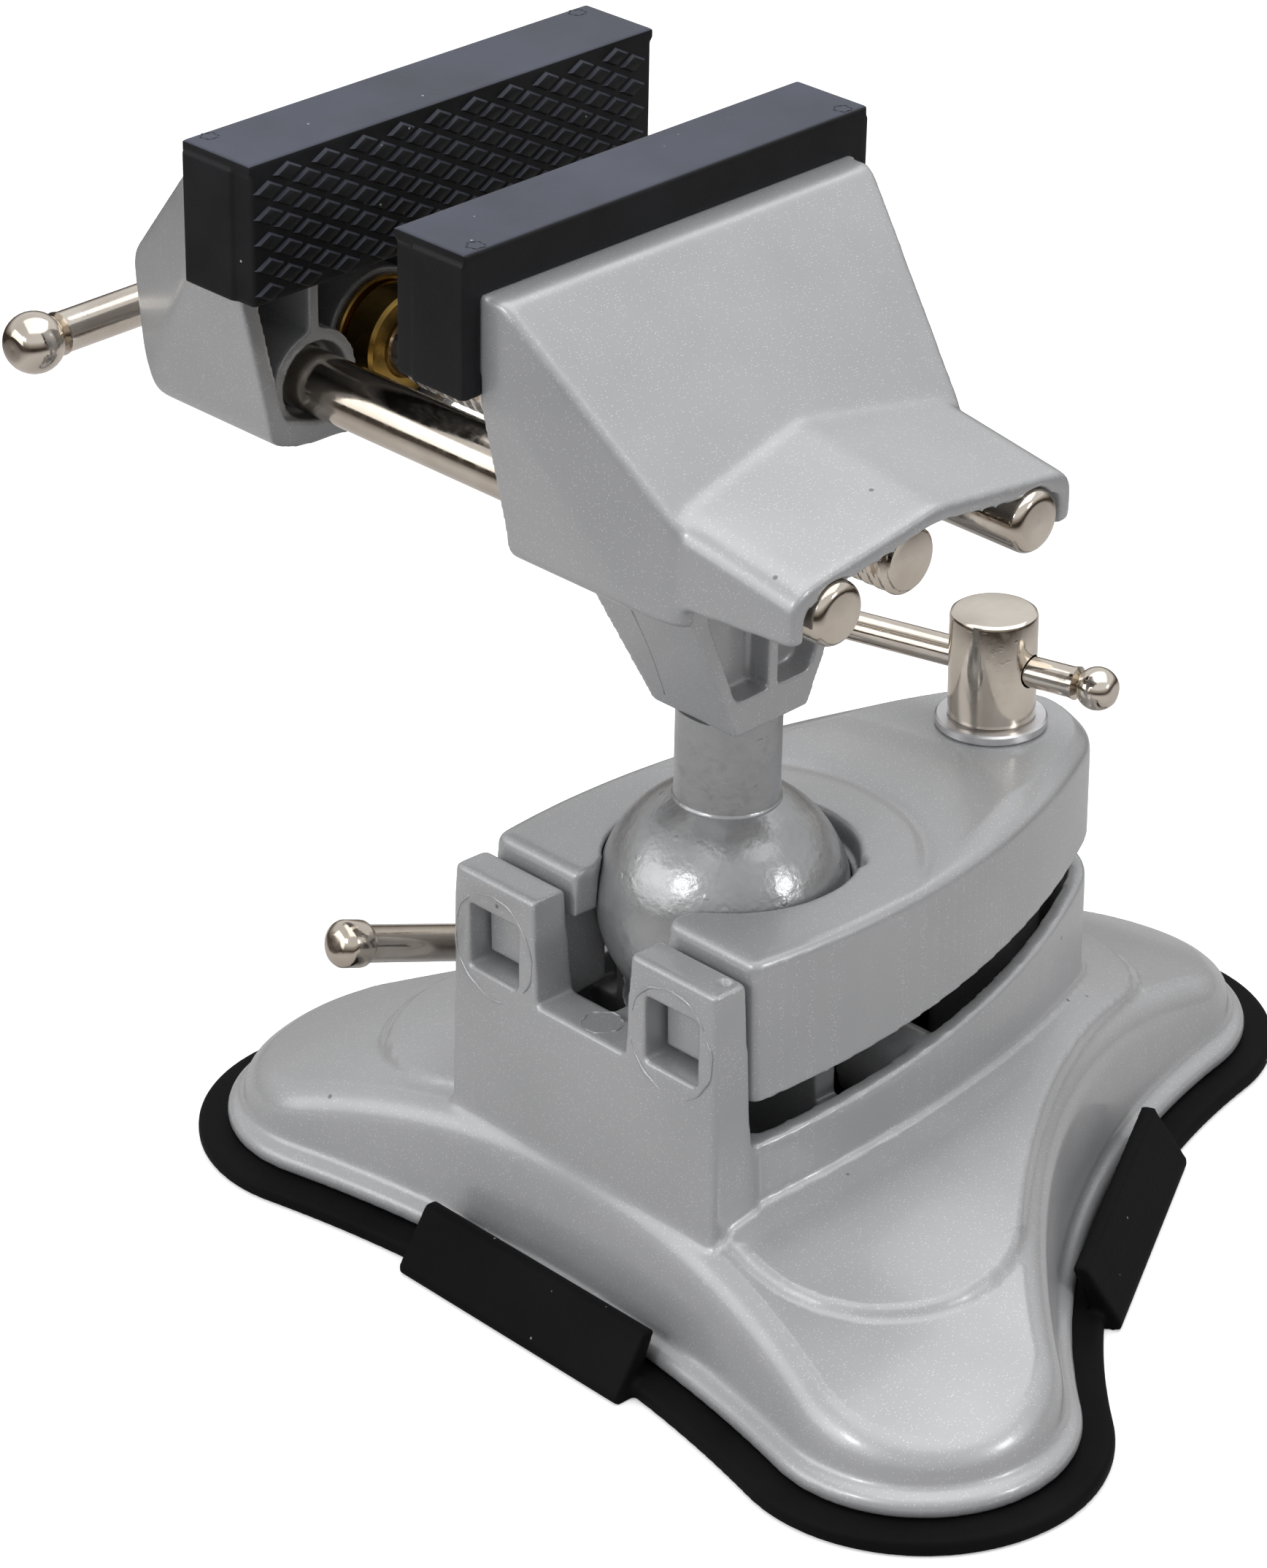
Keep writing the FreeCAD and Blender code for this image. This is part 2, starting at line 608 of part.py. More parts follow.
def make_fixed_jaw():
    block = common(side_prism(FIXED_SIDE, 80), cross_section(-13, 17),
                   plan_taper([(-13.0, 35.0), (-8.5, 35.0), (16.5, 27.4)]))
    inner_side = [(-9.5, 40), (-9.5, 92.5), (12.5, 69.2), (30, 69.2), (30, 40)]
    inner = common(side_prism(inner_side, 80), cross_section(-10, 30, SHELL),
                   plan_taper([(-10.0, 32.0), (-8.5, 32.0), (16.5, 24.8), (30, 24.8)]))
    floor_hole = box((-3.0, 17.0), (-28, 28), (40, 63))
    roof = hood(0, HOOD_START, HOOD_END, 59.4, 61.6)
    under_roof = hood(2.4, HOOD_START, HOOD_END + 1, 50, 50)
    shell = cut(fuse(block, roof), cut(inner, box((-20, -9.4), (-40, 40), (40, 110))), under_roof, floor_hole)
    guides = [rod(V(-13, y, ROD_Z), V(12, y, ROD_Z), 7.2) for y in (-ROD_Y, ROD_Y)]
    nut_boss = rod(V(-13, 0, LEAD_Z), V(7, 0, LEAD_Z), 9.5)
    web = box((-12, 4), (-ROD_Y, ROD_Y), (57.0, 64.0))
    head = jaw_head(FIXED_COVER_X[0] + RUBBER, -12.0, FIXED_COVER_X[1] - RUBBER)
    casting = fuse(shell, *guides, nut_boss, web, head, bracket_outside())
    rod_bores = [rod(V(-30, y, ROD_Z), V(40, y, ROD_Z), ROD_R + RUN) for y in (-ROD_Y, ROD_Y)]
    nut_pocket = rod(V(-5, 0, LEAD_Z), V(8, 0, LEAD_Z), 8.0)
    nut_face = rod(V(7, 0, LEAD_Z), V(9, 0, LEAD_Z), 9.5)
    lead_bore = rod(V(-30, 0, LEAD_Z), V(40, 0, LEAD_Z), LEAD_R + 0.5)
    pockets = [bracket_pocket(), mirrored(bracket_pocket())]
    spigot_bore = Part.makeCylinder(SPIGOT_R + RUN, 12, V(0, 0, NECK_TOP - 1))
    screw_bore = Part.makeCylinder(3.8, 14.0, V(0, 0, SPIGOT_TOP - 0.05))
    nut_and_screw = [nut_pocket, nut_face, lead_bore, spigot_bore, screw_bore]
    return at_head(cut(casting, *rod_bores, *nut_and_screw, *pockets))


def make_lead_nut():
    """Round flanged nut pressed into the fixed jaw."""
    body = rod(V(-5, 0, LEAD_Z), V(7, 0, LEAD_Z), 8.0)
    flange = rod(V(7, 0, LEAD_Z), V(8.6, 0, LEAD_Z), 9.3)
    return at_head(cut(fuse(body, flange), rod(V(-6, 0, LEAD_Z), V(10, 0, LEAD_Z), LEAD_R + RUN)))


def make_cover(grip_x, back_x):
    """A rubber cap over a jaw.  It is open at the back, below the casting's top edge."""
    backward = math.copysign(1, back_x - grip_x)
    outside = box(sorted((grip_x, back_x)), (-JAW_W / 2 - RUBBER, JAW_W / 2 + RUBBER), COVER_Z)
    outside = round_edges(outside, 0.7, lambda e: True)
    low = COVER_Z[0] + RUBBER
    front = grip_x + backward * RUBBER
    width = (-JAW_W / 2, JAW_W / 2)
    inside = box(sorted((front, back_x - backward * RUBBER)), width, (low, COVER_Z[1] - RUBBER))
    mouth = box(sorted((front, back_x + backward)), width, (low, CASTING_TOP))
    return at_head(cut(outside, inside, mouth))


def make_fixed_jaw_cover():
    cover = make_cover(FIXED_COVER_X[0], FIXED_COVER_X[1])
    casting_room = box((FIXED_SIDE[0][0], 0), (-JAW_W / 2, JAW_W / 2), (COVER_Z[0] - 1, CASTING_TOP))
    return cut(cover, at_head(casting_room))


def make_moving_jaw_cover():
    return make_cover(MOVING_COVER_X[1], MOVING_COVER_X[0])


MOVING_FRONT = -59.5
MOVING_SIDE = [(MOVING_FRONT, 40), (MOVING_FRONT, 83.0), (-66.7, 83.0), (-66.7, CASTING_TOP),
               (-70.3, CASTING_TOP), (-90.6, 77.2), (-87.4, 62.8), (-84.0, 59.0), (-82.0, 40)]


def make_moving_jaw():
    block = common(side_prism(MOVING_SIDE, 80), cross_section(-92, -59.5),
                   plan_taper([(-92.0, 27.2), (-70.3, 35.0), (-59.0, 35.0)]))
    inner_side = [(-58.0, 40), (-58.0, 80.0), (-68.0, 80.0), (-70.0, 93.2),
                  (-86.8, 76.2), (-84.2, 64.0), (-80.0, 40)]
    inner = common(side_prism(inner_side, 80), cross_section(-88, -57, SHELL),
                   plan_taper([(-88.0, 25.5), (-70.3, 31.8), (-57.0, 31.8)]))
    shell = cut(block, inner)
    sockets = [rod(V(-90, y, ROD_Z), V(-62, y, ROD_Z), 7.7) for y in (-ROD_Y, ROD_Y)]
    ribs = [box((-86, -62.0), (y - 1, y + 1), (ROD_Z, 82)) for y in (-ROD_Y, ROD_Y)]
    screw_boss = rod(V(-91, 0, LEAD_Z), V(-70, 0, LEAD_Z), 9.5)
    head = jaw_head(MOVING_COVER_X[1] - RUBBER, -67.5, MOVING_COVER_X[0] + RUBBER)
    keep_profile = [(-92, 40), (-50, 40), (-50, 110), (-66.7, 110)] + MOVING_SIDE[3:-1] + [(-84.0, 40)]
    keep = side_prism(keep_profile, 90)
    inner_parts = common(fuse(*sockets, *ribs), keep)
    trough = common(rod(V(-71, 0, LEAD_Z), V(-59.5, 0, LEAD_Z), 10.8), box((-72, -59), (-12, 12), (50, 58.5)))
    casting = fuse(shell, inner_parts, screw_boss, trough, head)
    collar_room = rod(V(-69.95, 0, LEAD_Z), V(-59, 0, LEAD_Z), 9.0)
    rod_seats = [rod(V(ROD_X[0], y, ROD_Z), V(-50, y, ROD_Z), ROD_R) for y in (-ROD_Y, ROD_Y)]
    counterbores = [rod(V(-65, y, ROD_Z), V(-61, y, ROD_Z), 5.8) for y in (-ROD_Y, ROD_Y)]
    pin_holes = [rod(V(-75, y, 50), V(-75, y, ROD_Z + 3.0), 1.5) for y in (-ROD_Y, ROD_Y)]
    lead_bore = rod(V(-95, 0, LEAD_Z), V(-60, 0, LEAD_Z), 4.5 + RUN)
    return at_head(cut(casting, *rod_seats, *counterbores, *pin_holes, lead_bore, collar_room))


# ---------------------------------------------------------------- guide rods, lead screw, tommy bar

def guide_rod(y):
    bar = rod(V(ROD_X[0], y, ROD_Z), V(ROD_X[1], y, ROD_Z), ROD_R)
    bar = round_edges(bar, 1.6, lambda e: e.BoundBox.XMin > ROD_X[1] - 0.01)
    return at_head(cut(bar, rod(V(-75, y, 50), V(-75, y, ROD_Z + 3.0), 1.5)))


def make_rod_pins():
    """Spring pins that lock the two guide rods in the moving jaw."""
    pins = [cut(rod(V(-75, y, 57.0), V(-75, y, ROD_Z + 2.9), 1.5), rod(V(-75, y, 50), V(-75, y, 80), 0.7))
            for y in (-ROD_Y, ROD_Y)]
    return at_head(Part.makeCompound(pins))


def make_lead_screw():
    """Screw with a plain journal in the moving jaw and a cross-drilled head outside it."""
    centre = V(0, 0, LEAD_Z)
    profile = [(0, LEAD_HEAD[0]), (6.4, LEAD_HEAD[0]), (7.0, LEAD_HEAD[0] + 0.6), (7.0, LEAD_HEAD[1]),
               (4.5, LEAD_HEAD[1]), (4.5, -62.0), (LEAD_ROOT_R, -62.0)]
    x = -60.0
    while x + LEAD_PITCH < LEAD_END - 1.0:
        profile += [(LEAD_ROOT_R, x + 0.3), (LEAD_R, x + 0.75), (LEAD_R, x + 1.25), (LEAD_ROOT_R, x + 1.7)]
        x += LEAD_PITCH
    profile += [(LEAD_ROOT_R, LEAD_END - 2.0), (LEAD_R, LEAD_END - 1.6), (LEAD_R, LEAD_END - 0.5),
                (LEAD_R - 0.5, LEAD_END), (0, LEAD_END)]
    screw = revolve(profile, centre, X_AXIS, Z_AXIS)
    cross = rod(V(JAW_BAR_X, -10, LEAD_Z), V(JAW_BAR_X, 10, LEAD_Z), JAW_BAR_R + 0.2)
    collar_pin_hole = rod(V(-66.0, 0, LEAD_Z - 9), V(-66.0, 0, LEAD_Z + 9), 1.25)
    return at_head(cut(screw, cross, collar_pin_hole))


def make_thrust_washer():
    """Yellow washer between the moving jaw's boss and the collar."""
    disc = rod(V(-69.9, 0, LEAD_Z), V(-68.9, 0, LEAD_Z), 8.6)
    return at_head(cut(disc, rod(V(-72, 0, LEAD_Z), V(-66, 0, LEAD_Z), 4.5)))


def make_thrust_collar():
    """Collar pinned to the lead screw, so that the screw pulls the jaw both ways."""
    ring = rod(V(-68.8, 0, LEAD_Z), V(-63.2, 0, LEAD_Z), 7.8)
    ring = cut(ring, rod(V(-72, 0, LEAD_Z), V(-60, 0, LEAD_Z), 4.5))
    return at_head(cut(ring, rod(V(-66.0, 0, LEAD_Z - 9), V(-66.0, 0, LEAD_Z + 9), 1.25)))


def make_collar_pin():
    return at_head(rod(V(-66.0, 0, LEAD_Z - 7.7), V(-66.0, 0, LEAD_Z + 7.7), 1.25))


def make_jaw_tommy_bar():
    start = V(JAW_BAR_X, -JAW_BAR_HALF, LEAD_Z)
    end = V(JAW_BAR_X, JAW_BAR_HALF, LEAD_Z)
    return at_head(turned_bar(start, end, JAW_BAR_R, JAW_BAR_KNOB_R, 8.0))


# ---------------------------------------------------------------- write the parts

PARTS = {
    "base_casting": make_base_casting,
    "suction_pad": make_suction_pad,
    "pull_stud": make_pull_stud,
    "cam_shaft": make_cam_shaft,
    "suction_lever": make_suction_lever,
    "shaft_clip": make_shaft_clip,
    "clamp_lid": make_clamp_lid,
    "clamp_washer": make_clamp_washer,
    "clamp_screw": make_clamp_screw,
    "clamp_tommy_bar": make_clamp_tommy_bar,
    "ball": make_ball,
    "neck": make_neck,
    "swivel_screw": make_swivel_screw,
    "fixed_jaw": make_fixed_jaw,
    "fixed_jaw_cover": make_fixed_jaw_cover,
    "lead_nut": make_lead_nut,
    "moving_jaw": make_moving_jaw,
    "moving_jaw_cover": make_moving_jaw_cover,
    "guide_rod_front": lambda: guide_rod(-ROD_Y),
    "guide_rod_rear": lambda: guide_rod(ROD_Y),
    "rod_pins": make_rod_pins,
    "lead_screw": make_lead_screw,
    "thrust_washer": make_thrust_washer,
    "thrust_collar": make_thrust_collar,
    "collar_pin": make_collar_pin,
    "jaw_tommy_bar": make_jaw_tommy_bar,
}

os.makedirs("parts", exist_ok=True)
for name, make in PARTS.items():
    shape = make()
    shape.exportStep("parts/" + name + ".step")
    print(name, "solids", len(shape.Solids), "valid", shape.isValid(), "volume", round(shape.Volume))
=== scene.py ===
import bpy
import bmesh
import json
import math
import numpy as np
from mathutils import Matrix, Vector


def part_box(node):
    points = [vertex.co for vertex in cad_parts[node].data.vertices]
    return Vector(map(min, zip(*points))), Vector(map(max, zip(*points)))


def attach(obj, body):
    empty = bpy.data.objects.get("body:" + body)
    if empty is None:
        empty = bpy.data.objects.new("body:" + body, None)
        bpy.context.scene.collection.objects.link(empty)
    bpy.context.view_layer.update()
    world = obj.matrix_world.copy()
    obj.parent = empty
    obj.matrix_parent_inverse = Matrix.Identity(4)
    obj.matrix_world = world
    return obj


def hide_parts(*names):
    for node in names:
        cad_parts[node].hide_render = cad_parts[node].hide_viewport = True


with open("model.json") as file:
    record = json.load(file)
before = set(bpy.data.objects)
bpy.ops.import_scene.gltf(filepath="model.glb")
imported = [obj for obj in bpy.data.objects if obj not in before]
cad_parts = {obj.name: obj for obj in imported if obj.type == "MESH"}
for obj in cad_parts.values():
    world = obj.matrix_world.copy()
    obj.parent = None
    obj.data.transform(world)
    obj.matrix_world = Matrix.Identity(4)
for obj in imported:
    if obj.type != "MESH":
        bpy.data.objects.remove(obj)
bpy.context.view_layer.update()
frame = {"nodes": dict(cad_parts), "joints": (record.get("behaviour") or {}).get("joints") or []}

# Looks for the ball-joint table vise.  Shapes are written in millimetres and placed in the shared
# frame (+Z up, the front uprights towards -Y).  The head's parts are written upright about the
# ball's centre and placed by the record's own joint axes.

MM = 0.001
JOINTS = {joint["name"]: joint for joint in frame["joints"]}


def joint_axis(name):
    return Vector(JOINTS[name]["axis"])


BALL = Vector(JOINTS["head_spin"]["pos_m"]) / MM
HEAD = Matrix.Translation(BALL * MM) @ Matrix((joint_axis("jaw_slide"), joint_axis("jaw_bar_slide"),
                                               joint_axis("head_spin"))).transposed().to_4x4()

# sizes shared by several pieces
BALL_R = 18.0
NECK_R = 7.45
NECK_TOP = 30.5
LID_BOTTOM = 40.0
PEDESTAL_TOP = 33.4
RIM_RISE = 0.08
LID_TOP = 62.0
SEAT_TOP = 63.6
SCREW_Y = 38.7
LID_FRONT = -34.6
SLOT_W = 9.15
UPRIGHT_W = 26.8
UPRIGHT_FRONT = -43.5
UPRIGHT_BACK = -35.0
UPRIGHT_TOP = 59.7
NOTCH_FLOOR = 43.9
WINDOW_X = (12.95, 23.25)
WINDOW_Z = (44.65, 54.5)
CAM_Z = 29.6
ROD_Y = 19.2
ROD_Z = 64.1
ROD_R = 4.5
LEAD_Z = 63.4
CASTING_TOP = 97.2
JAW_HALF = 35.0
RUBBER = 3.0
COVER_Z = (83.2, 103.6)
LEAD_R = 4.5
COLLAR_X = (-68.8, -63.2)
THRUST_X = (-69.9, -68.9)
ROD_ENDS = (-86.0, 36.7)
SCREW_HEAD_H = 16.5
WASHER_T = 1.6
CLAMP_BAR_Z = SEAT_TOP + WASHER_T + SCREW_HEAD_H / 2
JAW_BAR_X = -100.0

# voxel sizes for evening out a casting before and after it is hollowed
COARSE = 0.5
FINE = 0.4

# half the angle of a corner that is too flat to round
NEARLY_STRAIGHT = 1.55


# ---------------------------------------------------------------- mesh tools

def new_object(verts, faces):
    """A mesh object from points in millimetres, with its faces turned outward."""
    mesh = bpy.data.meshes.new("piece")
    mesh.from_pydata([(x * MM, y * MM, z * MM) for x, y, z in verts], [], faces)
    obj = bpy.data.objects.new("piece", mesh)
    bpy.context.scene.collection.objects.link(obj)
    work = bmesh.new()
    work.from_mesh(mesh)
    bmesh.ops.recalc_face_normals(work, faces=work.faces)
    work.to_mesh(mesh)
    work.free()
    return obj


def skin(rings, closed=False):
    """Quads between equally long rings of points; both ends are capped unless the rings close up."""
    count = len(rings[0])
    verts = [tuple(p) for ring in rings for p in ring]
    faces = []
    steps = len(rings) if closed else len(rings) - 1
    for i in range(steps):
        here, there = i * count, ((i + 1) % len(rings)) * count
        for j in range(count):
            k = (j + 1) % count
            faces.append((here + j, here + k, there + k, there + j))
    if not closed:
        faces.append(tuple(range(count)))
        faces.append(tuple(range(len(verts) - count, len(verts))))
    return new_object(verts, faces)


def prism(points, low, high):
    """A plan outline of (x, y) points swept from one height to another."""
    return skin([[(x, y, low) for x, y in points], [(x, y, high) for x, y in points]])


def side_prism(points, half):
    """A profile of (x, z) points swept across Y, centred."""
    return skin([[(x, -half, z) for x, z in points], [(x, half, z) for x, z in points]])


def section_prism(points, x_from, x_to):
    """A section of (y, z) points swept along X."""
    return skin([[(x_from, y, z) for y, z in points], [(x_to, y, z) for y, z in points]])


def block(x, y, z):
    """A box from three pairs of limits, given in either order."""
    (x0, x1), (y0, y1), (z0, z1) = sorted(x), sorted(y), sorted(z)
    return prism([(x0, y0), (x1, y0), (x1, y1), (x0, y1)], z0, z1)


def turns(first, last, steps, skip=0):
    """Angles in equal steps from one to another."""
    return [first + (last - first) * i / steps for i in range(skip, steps + 1)]


def full_turn(steps):
    return turns(0, 2 * math.pi, steps)[:-1]


def cross_axes(axis):
    """An axis as a unit vector, with two directions square to it."""
    axis = Vector(axis).normalized()
    across = axis.orthogonal().normalized()
    return axis, across, axis.cross(across)


def lathe(profile, start, axis, steps=96, closed=False):
    """A profile of (radius, distance) pairs turned about an axis.  A closed one makes a ring."""
    axis, across, other = cross_axes(axis)
    outs = [across * math.cos(turn) + other * math.sin(turn) for turn in full_turn(steps)]
    rings = []
    for radius, distance in profile:
        middle = Vector(start) + axis * distance
        rings.append([middle + out * max(radius, 0.02) for out in outs])
    return skin(rings, closed)


def rod(start, end, radius, steps=72):
    along = Vector(end) - Vector(start)
    return lathe([(radius, 0), (radius, along.length)], start, along, steps)


def post(y, low, high, radius):
    """An upright round bar or hole on the middle plane."""
    return rod((0, y, low), (0, y, high), radius)


def ball(centre, radius, steps=128):
    profile = [(radius * math.sin(turn), -radius * math.cos(turn)) for turn in turns(0, math.pi, steps)]
    return lathe(profile, centre, (0, 0, 1), steps)


def rounded(points, radius=0, steps=8):
    """The same closed outline with its corners rounded.  A corner may carry its own radius as (x, y, r)."""
    result = []
    count = len(points)
    for i, point in enumerate(points):
        corner = Vector(point[:2])
        r = point[2] if len(point) > 2 else radius
        before = Vector(points[i - 1][:2]) - corner
        after = Vector(points[(i + 1) % count][:2]) - corner
        a, b = before.normalized(), after.normalized()
        half = a.angle(b) / 2
        if r <= 0 or half > NEARLY_STRAIGHT:
            result.append(tuple(corner))
            continue
        reach = min(r / math.tan(half), 0.48 * before.length, 0.48 * after.length)
        r = reach * math.tan(half)
        centre = corner + (a + b).normalized() * (r / math.sin(half))
        first, last = corner + a * reach - centre, corner + b * reach - centre
        sweep = first.angle_signed(last)
        for k in range(steps + 1):
            turn = Matrix.Rotation(-sweep * k / steps, 2)
            result.append(tuple(centre + turn @ first))
    return result


def settle(obj):
    """Apply the modifiers of a piece to its mesh."""
    graph = bpy.context.evaluated_depsgraph_get()
    mesh = bpy.data.meshes.new_from_object(obj.evaluated_get(graph))
    old = obj.data
    obj.modifiers.clear()
    obj.data = mesh
    bpy.data.meshes.remove(old)
    return obj


def discard(objects):
    for obj in objects:
        mesh = obj.data
        bpy.data.objects.remove(obj)
        bpy.data.meshes.remove(mesh)


def combine(obj, tools, operation):
    for tool in tools:
        step = obj.modifiers.new("combine", "BOOLEAN")
        step.operation = operation
        step.solver = "MANIFOLD"
        step.object = tool
    settle(obj)
    discard(tools)
    return obj


def fuse(obj, *tools):
    return combine(obj, tools, "UNION")


def cut(obj, *tools):
    return combine(obj, tools, "DIFFERENCE")


def common(obj, *tools):
    return combine(obj, tools, "INTERSECT")


def soften(obj, voxel, rounds):
    """Even out a casting's mesh and round its edges, as casting and paint do."""
    remesh = obj.modifiers.new("even", "REMESH")
    remesh.mode = "VOXEL"
    remesh.voxel_size = voxel * MM
    smooth = obj.modifiers.new("round", "SMOOTH")
    smooth.factor = 0.5
    smooth.iterations = rounds
    return settle(obj)


def points_of(obj):
    """The vertices in millimetres, and their normals, as arrays."""
    count = len(obj.data.vertices)
    co = np.zeros(count * 3)
    obj.data.vertices.foreach_get("co", co)
    normals = np.zeros(count * 3)
    obj.data.vertices.foreach_get("normal", normals)
    return co.reshape(-1, 3) / MM, normals.reshape(-1, 3)


def set_points(obj, co):
    obj.data.vertices.foreach_set("co", (co * MM).ravel())
    obj.data.update()


def join(obj, *others):
    """Put other meshes into a piece as loose shells."""
    work = bmesh.new()
    work.from_mesh(obj.data)
    for other in others:
        work.from_mesh(other.data)
    discard(others)
    work.to_mesh(obj.data)
    work.free()
    return obj


def smooth_shade(obj, angle=None):
    """Smooth shading, kept sharp where faces meet at more than an angle in degrees."""
    obj.data.shade_smooth()
    if angle is not None:
        obj.data.set_sharp_from_angle(angle=math.radians(angle))


def finish(obj, name, body, node, material, at_head=False, sharp=None):
    """Shade, name and place a piece, and let it ride on a body in place of its CAD node.

    The material goes on as it is, with a number added to its name where the frame has that name
    already.  Edges sharper than an angle in degrees stay sharp.
    """
    smooth_shade(obj, sharp)
    obj.name = name
    obj.data.name = name
    if at_head:
        obj.data.transform(HEAD)
    obj.data.materials.clear()
    obj.data.materials.append(material)
    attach(obj, body)
    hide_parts(node)


def ridge(centre, axis, radius, thick, arcs):
    """A thin raised mould line round a circle, in arcs given as (from, to) in degrees."""
    axis, across, other = cross_axes(axis)
    shells = []
    for first, last in arcs:
        rings = []
        steps = max(6, int((last - first) / 4))
        for i, angle in enumerate(turns(first, last, steps)):
            turn = math.radians(angle)
            out = across * math.cos(turn) + other * math.sin(turn)
            wobble = radius + 0.12 * math.sin(5.3 * turn + radius) + 0.07 * math.sin(13 * turn)
            size = thick * (0.75 + 0.35 * math.sin(7 * turn + 1)) * min(1, 0.25 + min(i, steps - i) / 3)
            middle = Vector(centre) + out * wobble
            rings.append([middle + out * size * math.cos(spin) + axis * size * math.sin(spin)
                          for spin in full_turn(6)])
        shells.append(skin(rings))
    return join(*shells)


# ---------------------------------------------------------------- base casting and pad

LOBE_ANGLES = (90, 210, 330)
LOBE_AT = 65.5
LOBE_R = 27.5
FRONT_WAIST = 53.5
REAR_WAIST = 50.0
PAD_T = 2.6
PAD_RIM = 5.2
LIP = 1.8
WALL_DRAFT = 3.2
WALL_TOP = 26.0
DOME_R = 225.0
DOME_TOP = 27.0
SHELL = 3.0
LIP_EDGE = 4.2
LIP_R = 1.6
WALL_FOOT = 6.8
SHOULDER_R = 6.0
PANEL = (42.0, 20.5, 38.0)
PANEL_RISE = 1.2
LID_END_R = 14.6
LID_HALF_W = 28.0
LID_WIDEST_Y = -14.0


def lobed_loop(inset, lobe_at=LOBE_AT, lobe_r=LOBE_R, even_waist=None, steps=44):
    """The three-lobed plan outline as (x, y) points, always the same number of them."""

    def spot(angle, distance):
        turn = math.radians(angle)
        return Vector((distance * math.cos(turn), distance * math.sin(turn)))

    def hollow_centre(angle):
        waist = even_waist or (FRONT_WAIST if angle % 360 == 270 else REAR_WAIST)
        slack = lobe_r - waist
        distance = (lobe_at ** 2 - slack ** 2) / (lobe_at + 2 * slack)
        return spot(angle, distance), distance - waist + inset

    loop = []
    for angle in LOBE_ANGLES:
        lobe = spot(angle, lobe_at)
        before, _ = hollow_centre(angle - 60)
        after, hollow_r = hollow_centre(angle + 60)
        beyond = spot(angle + 120, lobe_at)
        first = math.atan2(*(before - lobe).yx)
        last = math.atan2(*(after - lobe).yx)
        while last < first:
            last += 2 * math.pi
        round_r = lobe_r - inset
        for turn in turns(first, last, steps)[:-1]:
            loop.append((lobe.x + round_r * math.cos(turn), lobe.y + round_r * math.sin(turn)))
        first = math.atan2(*(lobe - after).yx)
        last = math.atan2(*(beyond - after).yx)
        while last > first:
            last -= 2 * math.pi
        for turn in turns(first, last, steps)[:-1]:
            loop.append((after.x + hollow_r * math.cos(turn), after.y + hollow_r * math.sin(turn)))
    return loop


def outline_distance(points, loop):
    """Signed distance of (x, y) points to a closed loop, negative inside."""
    a = np.array(loop)
    b = np.roll(a, -1, axis=0)
    best = np.full(len(points), 1e9)
    inside = np.zeros(len(points), bool)
    for p, q in zip(a, b):
        edge = q - p
        t = np.clip(((points - p) @ edge) / (edge @ edge), 0, 1)
        best = np.minimum(best, np.linalg.norm(points - (p + t[:, None] * edge), axis=1))
        crosses = (p[1] > points[:, 1]) != (q[1] > points[:, 1])
        with np.errstate(divide="ignore", invalid="ignore"):
            at = p[0] + (points[:, 1] - p[1]) * edge[0] / (edge[1] if edge[1] else 1e-9)
        inside ^= crosses & (points[:, 0] < at)
    return np.where(inside, -best, best)


def smoothstep(value, low, high):
    t = np.clip((value - low) / (high - low), 0, 1)
    return t * t * (3 - 2 * t)


def dome_height(x, y, top=DOME_TOP):
    return top - DOME_R + math.sqrt(DOME_R ** 2 - x * x - y * y)


def dome_ring(loop, share, lift=0.0, top=DOME_TOP):
    """An outline shrunk towards the centre by a share and laid on the dome."""
    ring = []
    for point in loop:
        x, y = point[0] * (1 - share), point[1] * (1 - share)
        ring.append((x, y, dome_height(x, y, top) + lift))
    return ring


def lip_profile():
    """The rolled lip at the base's foot as (inset, height) pairs, from the pad up to the wall."""
    foot = PAD_RIM + LIP
    profile = [(PAD_RIM + 0.5, PAD_T), (PAD_RIM, PAD_T + 0.5), (PAD_RIM, LIP_EDGE)]
    for turn in turns(0, math.pi / 2, 8, 1):
        profile.append((PAD_RIM + LIP_R * (1 - math.cos(turn)), LIP_EDGE + LIP_R * math.sin(turn)))
    for turn in turns(0, math.pi / 2, 6):
        profile.append((foot + 0.2 + 0.5 * math.sin(turn), WALL_FOOT - 0.9 + 0.9 * (1 - math.cos(turn))))
    return profile


def wall_column(x0, y0, x1, y1):
    """The wall and its rounded shoulder above one foot point, up to where the dome begins."""
    draft = WALL_DRAFT / (WALL_TOP - PAD_T)
    reach = math.hypot(x1 - x0, y1 - y0)
    direction = Vector(((x1 - x0) / reach, (y1 - y0) / reach))

    def dome_at(s):
        return dome_height(x0 + direction.x * s, y0 + direction.y * s)

    meet = 0.0
    for _ in range(12):
        meet = draft * (dome_at(meet) - WALL_FOOT)
    corner = Vector((meet, dome_at(meet)))
    slope = (dome_at(meet + 4.0) - dome_at(meet)) / 4.0
    down = Vector((-draft, -1)).normalized()
    inward = Vector((1, slope)).normalized()
    half = down.angle(inward) / 2
    radius = min(SHOULDER_R, (corner.y - WALL_FOOT - 0.4) * math.tan(half))
    centre = corner + (down + inward).normalized() * radius / math.sin(half)
    reach = radius / math.tan(half)
    first, last = corner + down * reach - centre, corner + inward * reach - centre
    sweep = first.angle_signed(last)
    wall_end = centre + first
    steps = [(wall_end.x * (i / 6), WALL_FOOT + (wall_end.y - WALL_FOOT) * (i / 6)) for i in range(7)]
    for i in range(1, 11):
        steps.append(tuple(centre + Matrix.Rotation(-sweep * i / 10, 2) @ first))
    return [(x0 + direction.x * s, y0 + direction.y * s, z) for s, z in steps]


